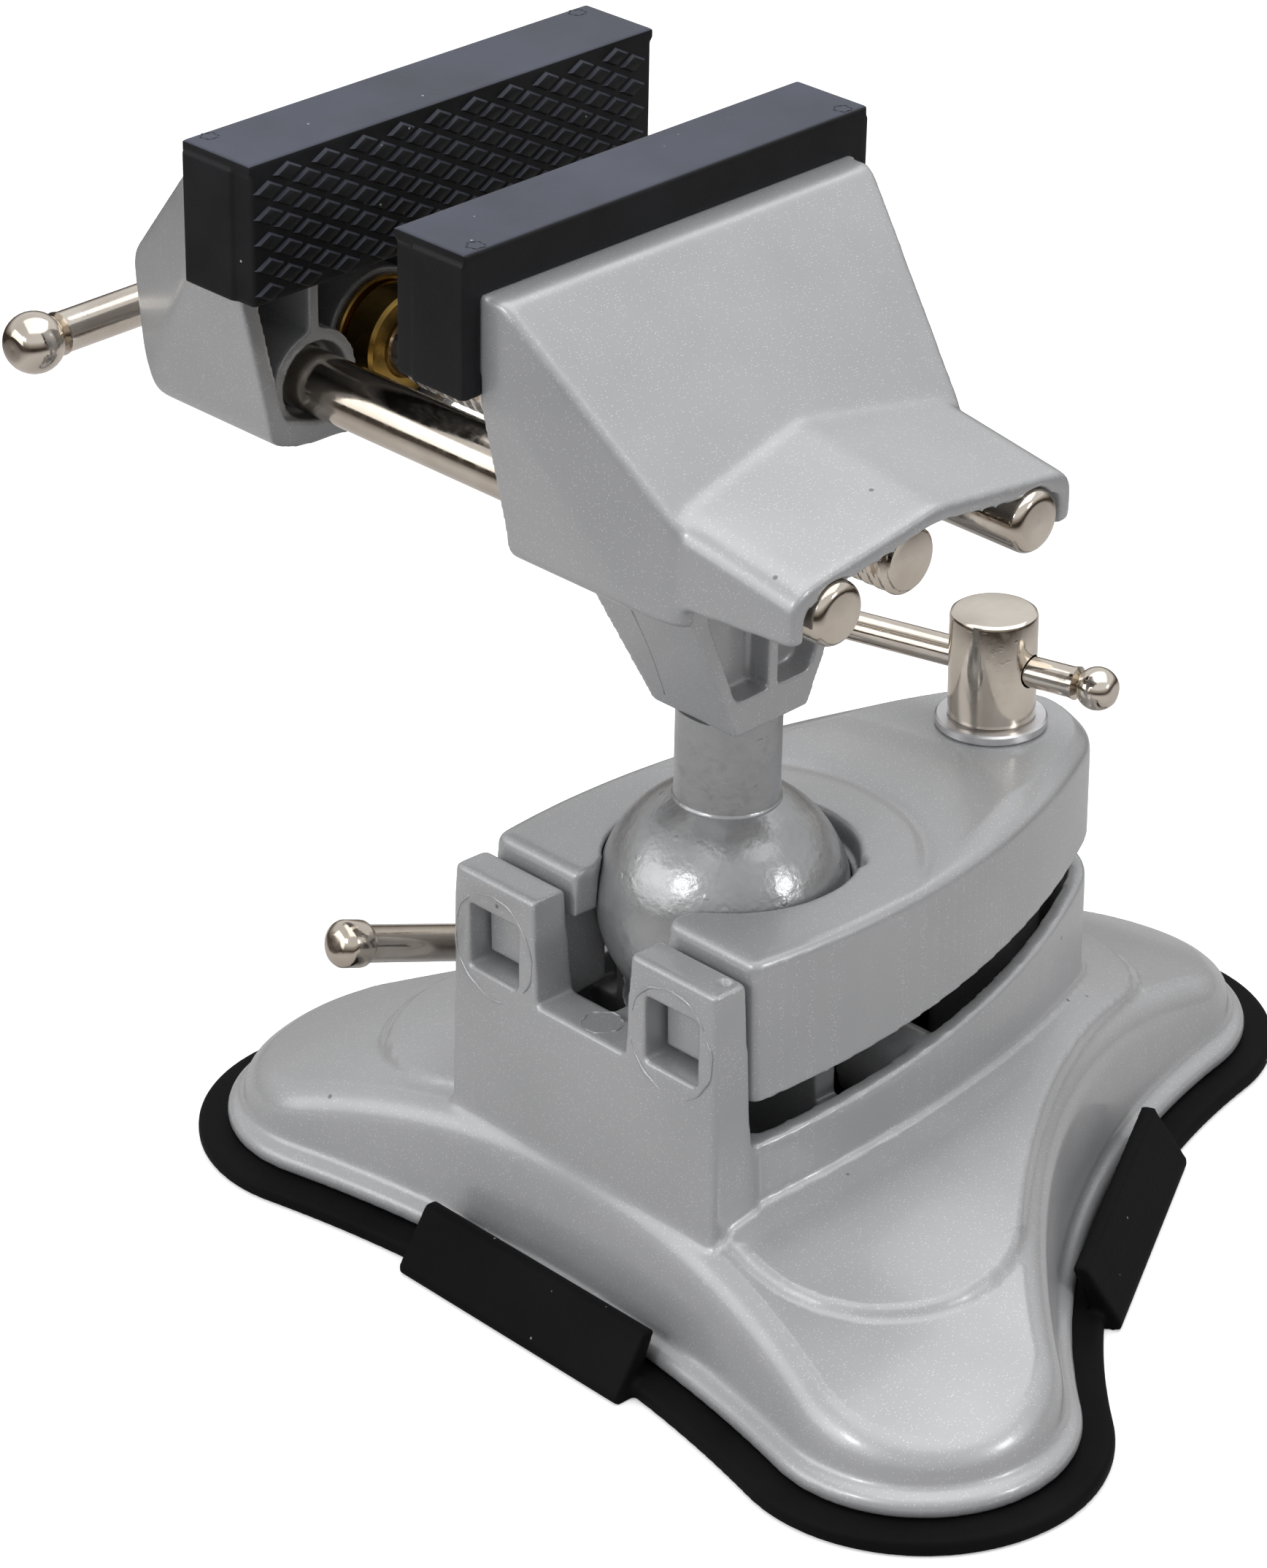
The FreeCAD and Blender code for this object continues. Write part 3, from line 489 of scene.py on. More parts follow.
def shell_rings():
    """The base's skin as rings: up the outside from the lip, over the shoulder and across the dome."""
    lip = lip_profile()
    loops = {inset: lobed_loop(inset) for inset in {round(item[0], 6) for item in lip}}
    rings = [[(x, y, z) for x, y in loops[round(inset, 6)]] for inset, z in lip]
    foot = PAD_RIM + LIP
    start, deep = lobed_loop(foot + 0.7), lobed_loop(foot + 12.0)
    columns = [wall_column(*outer, *inner) for outer, inner in zip(start, deep)]
    rings += [list(level) for level in zip(*columns)]
    edge = rings[-1]
    for share in [0.015 * i for i in range(1, 65)] + [0.985, 0.998]:
        rings.append(dome_ring(edge, share))
    return rings


def inner_rings():
    """The hollow under the dome, from its top down to the open foot."""
    inside = PAD_RIM + LIP + SHELL
    top_loop = lobed_loop(inside + WALL_DRAFT)
    rings = []
    for share in [0.998] + [0.95 - 0.05 * i for i in range(20)]:
        rings.append(dome_ring(top_loop, share, 0.0, DOME_TOP - SHELL))
    rings.append([(x, y, PAD_T) for x, y in lobed_loop(inside)])
    return rings


def lid_loop(inset=0.0, corner=1.6, steps=36):
    """The lid's boat-shaped plan outline, always the same number of points."""
    end_r = LID_END_R - inset
    half_w = LID_HALF_W - inset
    widest = LID_WIDEST_Y
    span = SCREW_Y - widest
    side_r = (half_w ** 2 + span ** 2 - end_r ** 2) / (2 * (half_w - end_r))
    side_x = half_w - side_r
    front = LID_FRONT + inset
    first = math.atan2(front + corner - widest, math.sqrt(side_r ** 2 - (front + corner - widest) ** 2))
    last = math.atan2(span, -side_x)
    right = []
    for turn in turns(first, last, steps):
        right.append((side_x + side_r * math.cos(turn), widest + side_r * math.sin(turn)))
    for turn in turns(last, math.pi / 2, 12, 1):
        right.append((end_r * math.cos(turn), SCREW_Y + end_r * math.sin(turn)))
    x_corner = right[0][0] - corner
    rounding = []
    for turn in turns(-math.pi / 2, 0, 8)[:-1]:
        rounding.append((x_corner + corner * math.cos(turn), front + corner + corner * math.sin(turn)))
    right = rounding + right
    left = [(-x, y) for x, y in reversed(right[:-1])]
    return right + left


def beyond_slope(height, far_z):
    """Everything between far_z and a plane that passes the lid's front at a height and rises to the rear."""
    near_z, rear_z = height + RIM_RISE * (-60 - LID_FRONT), height + RIM_RISE * (80 - LID_FRONT)
    return section_prism([(-60, near_z), (80, rear_z), (80, far_z), (-60, far_z)], -60, 60)


def dome_snap(co, normals, lift):
    """Pull vertices that lie within a hair of the dome, or of its raised panel, exactly onto it."""
    distance = np.linalg.norm(co - np.array((0, 0, DOME_TOP - DOME_R)), axis=1) - DOME_R - lift
    near = (np.abs(distance) < 0.3) & (normals[:, 2] > 0.9)
    fix = np.where(near, -distance * (1 - smoothstep(np.abs(distance), 0.14, 0.3)), 0)
    co += normals * fix[:, None]


def flatten_wall(co, loop, low, high):
    """Pull vertices that lie within a hair of an upright wall exactly onto its plan outline."""
    near = np.flatnonzero((co[:, 2] > low) & (co[:, 2] < high))
    spot = co[near, :2]
    gap = outline_distance(spot, loop)
    close = np.abs(gap) < 0.4
    near, spot, gap = near[close], spot[close], gap[close]
    step = 0.02
    moves = (np.array((step, 0)), np.array((0, step)))
    slope = np.stack([outline_distance(spot + move, loop) - gap for move in moves], axis=1)
    slope /= np.maximum(np.linalg.norm(slope, axis=1), 1e-9)[:, None]
    height = co[near, 2]
    share = smoothstep(height, low, low + 1.5) * (1 - smoothstep(height, high - 1.5, high))
    co[near, :2] -= slope * (gap * share * (1 - smoothstep(np.abs(gap), 0.2, 0.4)))[:, None]


def upright_blocks():
    """The two front uprights as one tapered wall: it leans back a little and is thinner at the top."""
    low, high = 12.0, UPRIGHT_TOP
    front, back = (UPRIGHT_FRONT + 0.2, UPRIGHT_FRONT + 1.6), (UPRIGHT_BACK + 1.0, UPRIGHT_BACK - 0.9)
    wide = (UPRIGHT_W + 0.5, UPRIGHT_W - 0.3)
    rings = []
    for half, y_front, y_back, z in ((wide[0], front[0], back[0], low), (wide[1], front[1], back[1], high)):
        rings.append([(-half, y_front, z), (half, y_front, z), (half, y_back, z), (-half, y_back, z)])
    return skin(rings)


def raised_panel():
    """The raised field on the dome: a smaller three-lobed outline that follows the dome's height."""
    loop = lobed_loop(0, *PANEL)
    rings = [[(x, y, 10.0) for x, y in loop], dome_ring(loop, 0, PANEL_RISE - 0.05)]
    for share in [0.02, 0.05] + [0.1 * i for i in range(1, 10)] + [0.99]:
        rings.append(dome_ring(loop, share, PANEL_RISE))
    return skin(rings)


def base_outside():
    """The closed outer form: dome with its lip, raised panel, pedestal and front uprights."""
    outer = skin(shell_rings())
    panel = raised_panel()
    pedestal = cut(prism(lid_loop(), 12.0, 60.0), beyond_slope(PEDESTAL_TOP, 90.0))
    return fuse(outer, panel, pedestal, upright_blocks())


def base_room():
    """What is hollow in the base: the well under the lid and the room under the dome."""
    well = prism(lid_loop(2.6), PAD_T - 1, 50.0)
    foot = [(x, y, PAD_T - 1) for x, y in lobed_loop(PAD_RIM + LIP + SHELL)]
    return well, skin(inner_rings() + [foot])


def base_fittings():
    """Inside the base: the ball's cup, its struts, the clamp screw's post and the cam shaft's bearings."""
    low, wall = 4.6, 25.6
    cup = common(ball(BALL, BALL_R + 3.4), block((-30, 30), (-40, 20), (30, 46)))
    cup = cut(cup, block((-25.5, 25.5), (-40, -23.0), (LID_BOTTOM - 0.5, 47)))
    across = (BALL.y - 2, BALL.y + 2)
    struts = [block((-wall, wall), across, (low, 31)), block((-20.5, 20.5), across, (low, 41)),
              block((-2, 2), (UPRIGHT_BACK - 1, BALL.y), (low, 43)),
              block((-1.5, 1.5), (SCREW_Y, SCREW_Y + 13.6), (low, 32.4))]
    bearings = [rod((side * 14.0, 0, CAM_Z), (side * wall, 0, CAM_Z), 6.5) for side in (-1, 1)]
    return [cup, post(SCREW_Y, low, 38.0, 8.0)] + struts + bearings


def base_openings():
    """The notch between the uprights, their windows, the bores and the ball's seat."""
    top_half, low_half = SLOT_W + 0.9, SLOT_W - 0.1
    top = UPRIGHT_TOP + 2
    ring = [(-low_half, NOTCH_FLOOR), (low_half, NOTCH_FLOOR), (top_half, top), (-top_half, top)]
    through = (UPRIGHT_FRONT - 2, UPRIGHT_BACK + 2)
    openings = [skin([[(x, y, z) for x, z in ring] for y in through])]
    for side in (-1, 1):
        openings.append(block([side * x for x in WINDOW_X], through, WINDOW_Z))
    openings.append(post(SCREW_Y, 0, 60, 4.05))
    for x_from, x_to, radius in ((-40, 0, 3.6), (0, 25.4, 2.1), (-38, -28.2, 5.8)):
        openings.append(rod((x_from, 0, CAM_Z), (x_to, 0, CAM_Z), radius))
    openings.append(ball(BALL, BALL_R + 0.05))
    return openings


def base_marks():
    """Mould lines round the two windows and on the notch's floor."""
    marks = []
    for side in (-1, 1):
        centre = Vector((side * 18.1, UPRIGHT_FRONT + 1.3, 49.4))
        arcs = [(100, 250), (262, 300), (318, 420)] if side < 0 else [(70, 160), (170, 300), (330, 395)]
        mark = ridge(centre, (0, -1, 0), 8.0, 0.28, arcs)
        lean = Matrix.Translation(centre * MM) @ Matrix.Rotation(math.radians(-1.7), 4, "X")
        mark.data.transform(lean @ Matrix.Translation(-centre * MM))
        marks.append(mark)
    marks.append(ridge((0.5, -38.6, NOTCH_FLOOR + 0.02), (0, 0, 1), 2.9, 0.16, [(0, 200), (215, 352)]))
    return marks


def make_base(paint):
    base = base_outside()
    soften(base, COARSE, 10)
    base = cut(base, *base_room())
    base = fuse(base, *base_fittings())
    base = cut(base, *base_openings())
    soften(base, FINE, 5)
    co, normals = points_of(base)
    for lift in (0.0, PANEL_RISE):
        dome_snap(co, normals, lift)
    pit, pit_r, pit_depth = np.array((24.2, -37.6, UPRIGHT_TOP)), 1.15, 1.4
    gap = np.linalg.norm(co - pit, axis=1)
    co[:, 2] -= np.where(gap < pit_r, pit_depth * (1 - (gap / pit_r) ** 2), 0)
    set_points(base, co)
    join(base, *base_marks())
    finish(base, "base_shell", "base", "base_casting", paint)


def make_pad(rubber):
    """The flat pad with its three lifting tabs, its rim rounded, and the hollow boss for the stud."""
    profile = [(0.5, 0.0), (0.1, 0.25), (0.0, 0.7), (0.0, 1.7), (0.15, 2.2), (0.5, 2.5), (0.9, PAD_T),
               (4.0, PAD_T), (12.0, PAD_T)]
    rings = [[(x, y, z) for x, y in lobed_loop(inset + 0.8)] for inset, z in profile]
    rings.append([(x * 0.3, y * 0.3, PAD_T) for x, y in lobed_loop(12.0)])
    pad = skin(rings)
    tab_side = [(-6.0, 0.0), (3.2, 0.0), (3.6, 0.6), (3.5, 1.5), (-1.8, 9.5), (-4.0, 9.5), (-0.8, PAD_T),
                (-6.0, PAD_T)]
    tabs = []
    for angle, waist in ((30, REAR_WAIST), (150, REAR_WAIST), (270, FRONT_WAIST)):
        tab = side_prism(rounded([(waist + d, z) for d, z in tab_side], 0.5, 4), 23.0)
        tab.data.transform(Matrix.Rotation(math.radians(angle), 4, "Z"))
        tabs.append(tab)
    pad = fuse(pad, post(0, 0, 9.5, 12.8), *tabs)
    pad = cut(pad, post(0, 2.0, 7.2, 10.2), post(0, 7.0, 11.0, 4.4))
    soften(pad, FINE, 3)
    finish(pad, "rubber_pad", "base", "suction_pad", rubber)


# ---------------------------------------------------------------- clamp lid

MOUTH_LOW = 58.4
SEAT_R = 9.3


def mouth_outline():
    """Plan of the lid's opening: the front slot running into the ball's hole, with rounded shoulders."""
    centre = Vector((0.5, BALL.y + 1.0))
    radius = BALL_R - 0.1
    shoulder = -math.sqrt(radius ** 2 - (SLOT_W + 0.4) ** 2)
    shoulder_y = centre.y + shoulder - 1.5
    points = [(-SLOT_W - 0.2, -45, 0), (SLOT_W + 0.2, -45, 0), (SLOT_W, shoulder_y, 3.0)]
    start = math.atan2(shoulder + 1.5, SLOT_W + 1.6)
    for turn in turns(start, math.pi - start, 40):
        points.append((centre.x + radius * math.cos(turn), centre.y + radius * math.sin(turn), 0))
    points.append((-SLOT_W, shoulder_y, 3.0))
    return rounded(points)


def lid_outside(mouth):
    """The lid's outer form with its rounded top edge, the ball's mouth and the catch notch beside it."""
    edge = 1.8
    rings = [[(x, y, LID_BOTTOM) for x, y in lid_loop()]]
    for turn in turns(0, math.pi / 2, 8):
        inset = edge * (1 - math.cos(turn))
        z = LID_TOP - edge + edge * math.sin(turn)
        rings.append([(x, y, z) for x, y in lid_loop(inset, edge - inset * 0.9)])
    catch = block((-1.3, 1.3), (0, BALL_R + 1.7), (MOUTH_LOW, LID_TOP + 9))
    turned = Matrix.Translation(Vector((0, BALL.y, 0)) * MM) @ Matrix.Rotation(math.radians(-52), 4, "Z")
    catch.data.transform(turned)
    return cut(skin(rings), prism(mouth, MOUTH_LOW, LID_TOP + 8), catch)


def lid_fittings():
    """The washer's seat, the ball's upper seat, the screw's post, the front blocks and the two lugs."""
    ring = post(SCREW_Y, LID_TOP - 1, SEAT_TOP, SEAT_R)
    seat = common(post(BALL.y, 53, LID_TOP - 1.5, BALL_R + 5), prism(lid_loop(1), LID_BOTTOM, 70))
    parts = [ring, seat, post(SCREW_Y, LID_BOTTOM, LID_TOP - 1, 9.2)]
    front = ((SLOT_W, 24.5), (LID_FRONT + 1, -26), (LID_BOTTOM, LID_TOP - 1.5))
    lug_x, lug_z = (WINDOW_X[0] + 0.6, WINDOW_X[1] - 0.5), (WINDOW_Z[0] + 1.2, WINDOW_Z[1] - 0.5)
    for x, y, z in (front, (lug_x, (-38.6, LID_FRONT + 1), lug_z)):
        parts += [block([side * edge for edge in x], y, z) for side in (-1, 1)]
    return parts


def lid_openings(mouth):
    """The neck's slot, the pocket under it, the mouth, the screw's hole, the ball's seat and the slope."""
    slot = block((-SLOT_W, SLOT_W), (-45, BALL.y), (LID_BOTTOM - 1, LID_TOP - 3))
    pocket_half = WINDOW_X[0] - 0.5
    pocket = block((-pocket_half, pocket_half), (-45, -22), (LID_BOTTOM - 1, LID_TOP - 7.0))
    hole = post(SCREW_Y, LID_BOTTOM - 1, 70, 4.45)
    through = prism(mouth, MOUTH_LOW, LID_TOP + 8)
    return slot, pocket, through, hole, ball(BALL, BALL_R + 0.15), beyond_slope(LID_BOTTOM, 0.0)


def shape_lid_top(co):
    """A crease around the ball, a gentle rise behind it, and a fillet up to the washer's seat."""
    reach = np.hypot(co[:, 0], co[:, 1] - BALL.y)
    edge = -outline_distance(co[:, :2], lid_loop())
    washer_gap = np.hypot(co[:, 0], co[:, 1] - SCREW_Y)
    behind = smoothstep(co[:, 1], -14.0, -4.0) * smoothstep(edge, 0.3, 5.0)
    crease = 0.32 * np.exp(-((reach - 28.2) / 1.1) ** 2)
    rise = (0.09 * np.maximum(reach - 28.5, 0) - crease) * behind
    rise = np.minimum(rise, np.maximum(SEAT_TOP - 0.25 - co[:, 2], 0))
    co[:, 2] += rise * smoothstep(co[:, 2], LID_TOP - 1.5, LID_TOP - 0.2) * (washer_gap > 5.0)
    fillet = np.clip(1 - (washer_gap - SEAT_R) / 2.6, 0, 1) ** 2 * (washer_gap > SEAT_R - 0.3)
    lift = fillet * np.maximum(SEAT_TOP - 0.1 - co[:, 2], 0) * 0.75
    co[:, 2] += np.where(co[:, 2] > LID_TOP - 0.3, lift, 0)


def make_lid(paint):
    mouth = mouth_outline()
    lid = lid_outside(mouth)
    soften(lid, 0.45, 8)
    lid = cut(lid, prism(lid_loop(3.2), LID_BOTTOM - 1, 57.5))
    lid = fuse(lid, *lid_fittings())
    lid = cut(lid, *lid_openings(mouth))
    soften(lid, 0.36, 5)
    co, _ = points_of(lid)
    flatten_wall(co, lid_loop(steps=200), LID_BOTTOM + 0.5, LID_TOP - 2.5)
    shape_lid_top(co)
    set_points(lid, co)
    finish(lid, "lid_casting", "lid", "clamp_lid", paint)


# ---------------------------------------------------------------- jaw castings

def body_section(inset=0.0):
    """(y, z) outline of the castings' section: upright sides that lean in, and a nearly flat belly."""
    side = JAW_HALF - inset
    low = 30.4 - inset
    right = [(side, 110, 0), (side, 82, 6), (low, 62.5, 2), (low - 0.6, 58.2 + inset, 3.2),
             (low - 6.0, 56.5 + inset, 4)]
    left = [(-y, z, r) for y, z, r in reversed(right)]
    return rounded(right + [(0, 55.0 + inset, 0)] + left)


def plan(points):
    """A symmetric plan of the head from (x, half width, corner radius) entries."""
    near = [(x, -half, r) for x, half, r in points]
    far = [(x, half, r) for x, half, r in reversed(points)]
    return prism(rounded(near + far), 40, 110)


def hood_section(x, inset, ridge_z, eave_z, foot):
    half = 27.4 - inset
    r = 4.0 - inset / 2
    eave = eave_z - inset
    points = [(-half, foot, 0), (-half, eave, r), (0, ridge_z - inset, 6.0), (half, eave, r),
              (half, foot, 0)]
    return [(x, y, z) for y, z in rounded(points)]


def hood(inset, x_from, x_to, foot_from, foot_to):
    """The roof over the rod ends.  It falls slowly along X, and its sides reach down to the feet given."""
    slope = 3.8 / 25.0
    rings = []
    for x, eave, foot in ((x_from, 73.0, foot_from), (x_to, 72.6, foot_to)):
        drop = (x - 10.6) * slope
        rings.append(hood_section(x, inset, 76.6 - drop, eave - drop + 0.3, foot))
    return skin(rings)


def jaw_plate(front_x, back_x, back_top_x):
    """The flat plate a cover grips: it steps back above the casting's top edge."""
    low = COVER_Z[0] + RUBBER
    width = (-JAW_HALF, JAW_HALF)
    plate = block((front_x, back_x), width, (low, CASTING_TOP))
    return fuse(plate, block((front_x, back_top_x), width, (low, COVER_Z[1] - RUBBER)))


def bracket():
    front = section_prism([(-7.0, NECK_TOP), (7.0, NECK_TOP), (18.9, 57.0), (-18.9, 57.0)], -20, 20)
    side = side_prism([(-7.9, NECK_TOP), (8.0, NECK_TOP), (8.0, 58.0), (-12.6, 58.0), (-12.0, 50.0)], 30)
    return common(front, side)


def bracket_pocket(side):
    points = [(1.0, 36.0, 0.6), (7.2, 36.0, 2.0), (14.4, 53.5, 2.5), (1.0, 53.5, 0.6)]
    outline = [(side * y, z) for y, z in rounded(points, 0, 6)]
    return section_prism(outline, 4.2, 14.2)


def bore(x_from, x_to, radius, y=0.0, z=LEAD_Z):
    """A round bar or hole along X."""
    return rod((x_from, y, z), (x_to, y, z), radius)


def rod_bores(x_from, x_to, radius):
    """The same round bar or hole about both guide rods."""
    return [bore(x_from, x_to, radius, y, ROD_Z) for y in (-ROD_Y, ROD_Y)]


def fixed_jaw_outside():
    profile = [(-16.0, 40, 0), (-16.0, CASTING_TOP, 0), (-8.7, CASTING_TOP, 1.5), (16.5, 70.6, 1.0),
               (16.5, 40, 0)]
    casting = side_prism(rounded(profile), 40)
    outline = plan([(-16.0, 35.0, 0), (-8.5, 35.0, 4.0), (16.5, 27.4, 3.0)])
    casting = common(casting, section_prism(body_section(), -16, 17), outline)
    return fuse(casting, hood(0, 8.0, 35.6, 59.4, 61.6))


def fixed_jaw_room():
    """What is hollow in the fixed jaw: behind its skin, under the hood, and the open front and belly."""
    inner_side = [(-9.5, 40), (-9.5, 92.5), (12.5, 69.2), (30, 69.2), (30, 40)]
    outline = plan([(-10.0, 32.0, 0), (-8.5, 32.0, 0), (16.5, 24.8, 0), (30, 24.8, 0)])
    hollow = common(side_prism(inner_side, 40), section_prism(body_section(3.0), -9.4, 30), outline)
    front = block((-20, -13.0), (-40, 40), (40, 110))
    belly = block((-3.0, 17.0), (-24.6, 24.6), (40, 63))
    return front, hollow, hood(2.4, 8.0, 36.6, 50, 50), belly


def bracket_seam():
    """The ragged flash line down the front left of the bracket."""
    rings = []
    for i in range(24):
        t = i / 23
        z = 33.0 + 23.0 * t
        y = -(7.0 + 11.9 * (z - NECK_TOP) / 26.5)
        x = -4.6 + 1.2 * math.sin(3.1 * t) - 1.6 * t
        size = 0.16 + 0.2 * math.exp(-((t - 0.75) / 0.12) ** 2)
        rings.append([(x + size * math.cos(a), y - size * math.sin(a) * 0.7, z) for a in full_turn(6)])
    return skin(rings)


def make_fixed_jaw(paint):
    casting = fixed_jaw_outside()
    soften(casting, COARSE, 16)
    casting = cut(casting, *fixed_jaw_room())
    web = block((-12, 4), (-ROD_Y, ROD_Y), (57.0, 64.0))
    plate = jaw_plate(-23.3, -12.0, -15.6)
    casting = fuse(casting, *rod_bores(-13, 12, 7.2), bore(-13, 7, 9.5), web, plate, bracket())
    bores = rod_bores(-30, 40, ROD_R + 0.12) + [bore(-5, 8, 8.0), bore(7, 9, 9.5), bore(-30, 40, 5.5)]
    bores += [post(0, NECK_TOP - 1, NECK_TOP + 11, 3.1), post(0, 39.95, 54, 3.8)]
    casting = cut(casting, bracket_pocket(1), bracket_pocket(-1), *bores)
    soften(casting, FINE, 5)
    join(casting, bracket_seam())
    finish(casting, "fixed_jaw_casting", "fixed_jaw", "fixed_jaw", paint, True)


def moving_jaw_outside():
    profile = [(-56.0, 40, 0), (-56.0, CASTING_TOP, 0), (-70.3, CASTING_TOP, 1.5), (-90.6, 77.2, 5.0),
               (-87.4, 62.8, 6.0), (-84.0, 59.0, 4.0), (-82.0, 40, 0)]
    casting = side_prism(rounded(profile), 40)
    outline = plan([(-92.0, 27.2, 2.0), (-70.3, 35.0, 4.0), (-56.0, 35.0, 0)])
    return common(casting, section_prism(body_section(), -92, -56), outline)


def moving_jaw_room():
    """What is hollow in the moving jaw: behind its skin, and the open front and cover seat."""
    inner_side = [(-58.0, 40), (-58.0, 80.0), (-68.0, 80.0), (-70.0, 93.2), (-86.8, 76.2), (-84.2, 64.0),
                  (-80.0, 40)]
    outline = plan([(-88.0, 25.5, 0), (-70.3, 31.8, 0), (-57.0, 31.8, 0)])
    hollow = common(side_prism(inner_side, 40), section_prism(body_section(3.0), -88, -57), outline)
    open_front = block((-59.5, -50), (-40, 40), (40, 110))
    cover_seat = block((-66.7, -50), (-40, 40), (83.0, 110))
    return hollow, open_front, cover_seat


def make_moving_jaw(paint):
    casting = moving_jaw_outside()
    soften(casting, COARSE, 22)
    casting = cut(casting, *moving_jaw_room())
    trough = common(bore(-71, -59.5, 10.8), block((-72, -59), (-12, 12), (50, 58.5)))
    ribs = [block((-84, -62.0), (y - 1, y + 1), (ROD_Z, 81)) for y in (-ROD_Y, ROD_Y)]
    plate = jaw_plate(-55.8, -67.5, -63.7)
    casting = fuse(casting, *rod_bores(-86, -62, 7.7), *ribs, bore(-91, -70, 9.5), trough, plate)
    bores = rod_bores(-86.0, -50, ROD_R) + rod_bores(-65, -61, 5.8)
    casting = cut(casting, *bores, bore(-95, -60, 4.6), bore(-69.95, -59, 9.0))
    soften(casting, FINE, 5)
    finish(casting, "moving_jaw_casting", "moving_jaw", "moving_jaw", paint, True)


# ---------------------------------------------------------------- rubber covers

GRIP_STEP_Y = 3.43
GRIP_STEP_Z = 1.82
GRIP_HEIGHT = 0.55


def grip_stud(y, z, grip_x, outward):
    """One truncated rhombus of the gripping face."""
    corners = [(-GRIP_STEP_Y, 0), (0, -GRIP_STEP_Z), (GRIP_STEP_Y, 0), (0, GRIP_STEP_Z)]
    rings = []
    for scale, depth in ((0.80, GRIP_HEIGHT + 0.3), (0.76, GRIP_HEIGHT), (0.60, 0.06), (0.55, 0.0)):
        rings.append([(grip_x - outward * depth, y + a * scale, z + b * scale) for a, b in corners])
    return rings


def grip_studs(half, low, high, grip_x, outward):
    """All studs of one gripping face, every other column shifted by half a row."""
    studs = []
    column = 0
    y = -half + 3.2
    while y < half - 2.6:
        z = low + 1.7 + (column % 2) * GRIP_STEP_Z
        while z < high - 1.3:
            studs.append(skin(grip_stud(y, z, grip_x, outward)))
            z += 2 * GRIP_STEP_Z
        y += GRIP_STEP_Y
        column += 1
    return studs


def cover_cap(grip_x, back_x, backward):
    """The cap with its slightly proud top rim and end panels, still solid inside."""
    face_x = grip_x + backward * GRIP_HEIGHT
    half = JAW_HALF + RUBBER
    low, high = COVER_Z
    rim_z = high - 1.6
    outline = [(face_x, -half + 0.3, 0.5), (back_x, -half, 0.7), (back_x, half, 0.7),
               (face_x, half - 0.3, 0.5)]
    parts = [block((face_x, back_x), (-half, half), (rim_z, high))]
    panel_x = (face_x + backward * 3.6, back_x - backward * 0.2)
    for side in (-1, 1):
        parts.append(block(panel_x, (side * (half - 1), side * (half + 0.35)), (low + 0.2, rim_z)))
    return fuse(prism(rounded(outline, 0, 6), low, high), *parts)


def make_cover(name, body, node, grip_x, back_x, rubber):
    """A rubber cap over a jaw, open at the back below the casting's top edge."""
    backward = math.copysign(1, back_x - grip_x)
    half = JAW_HALF + RUBBER
    low, high = COVER_Z
    front = grip_x + backward * RUBBER
    width = (-JAW_HALF, JAW_HALF)
    inside = block((front, back_x - backward * RUBBER), width, (low + RUBBER, high - RUBBER))
    mouth = block((front, back_x + backward * 2), width, (low + RUBBER, CASTING_TOP))
    cap = cut(cover_cap(grip_x, back_x, backward), inside, mouth)
    if backward > 0:
        cap = cut(cap, block((-13.0, 0), width, (low - 1, CASTING_TOP)))
    soften(cap, 0.33, 2)
    marks = [ridge((back_x - backward * 1.6, side * (half - 3.4), high), (0, 0, 1), 1.15, 0.09, [(0, 352)])
             for side in (-1, 1)]
    join(cap, *grip_studs(half, low, high, grip_x, -backward), *marks)
    finish(cap, name, body, node, rubber, True, 40)


# ---------------------------------------------------------------- ball, neck and turned parts

def make_ball(zinc):
    finish(ball(BALL, BALL_R, 160), "ball_body", "ball", "ball", zinc)


def make_neck(zinc):
    """The neck with its small foot bead on the ball and the threaded hole's mouth at the top."""
    foot = math.sqrt(BALL_R ** 2 - NECK_R ** 2)
    bead = NECK_R + 0.3
    hole_r, hole_z = 3.05, 39.9
    profile = [(0, foot - 1.2), (bead, foot - 1.0), (bead, foot + 0.1), (NECK_R + 0.08, foot + 0.35),
               (NECK_R, foot + 0.6), (NECK_R, NECK_TOP - 0.1), (NECK_R - 0.1, NECK_TOP), (hole_r, NECK_TOP),
               (hole_r, hole_z), (0, hole_z)]
    finish(lathe(profile, (0, 0, 0), (0, 0, 1), 128), "neck_body", "neck", "neck", zinc, True, 35)


def knobbed_bar(start, end, radius, knob_r, knob_len):
    """A bar with a turned knob at each end: a round bead with a small flat tip."""
    along = Vector(end) - Vector(start)
    flat = knob_r * 0.5
    bead = []
    for i in range(15):
        turn = math.radians(-62 + 128 * i / 14)
        bead.append((knob_r * math.cos(turn), knob_len * 0.46 + knob_r * math.sin(turn)))
    shift = bead[0][1]
    bead = [(r, d - shift) for r, d in bead]
    profile = [(0, 0.15), (flat * 0.7, 0.0), (bead[0][0], 0.12)] + bead[1:]
    profile.append((radius + 0.2, bead[-1][1] + 0.3))
    profile.append((radius, bead[-1][1] + 1.2))
    other = [(r, along.length - d) for r, d in reversed(profile)]
    return lathe(profile + other, start, along, 72)


def make_jaw_bar(nickel):
    piece = knobbed_bar((JAW_BAR_X, -42.0, LEAD_Z), (JAW_BAR_X, 42.0, LEAD_Z), 3.0, 4.5, 8.0)
    finish(piece, "jaw_bar", "jaw_bar", "jaw_tommy_bar", nickel, True, 50)


def clamp_bar_ends(before, after):
    """Two points on the clamp bar's axis, at distances from the clamp screw's axis."""
    middle = Vector((0, SCREW_Y, CLAMP_BAR_Z))
    return [middle + joint_axis("clamp_bar_slide") * distance for distance in (before, after)]


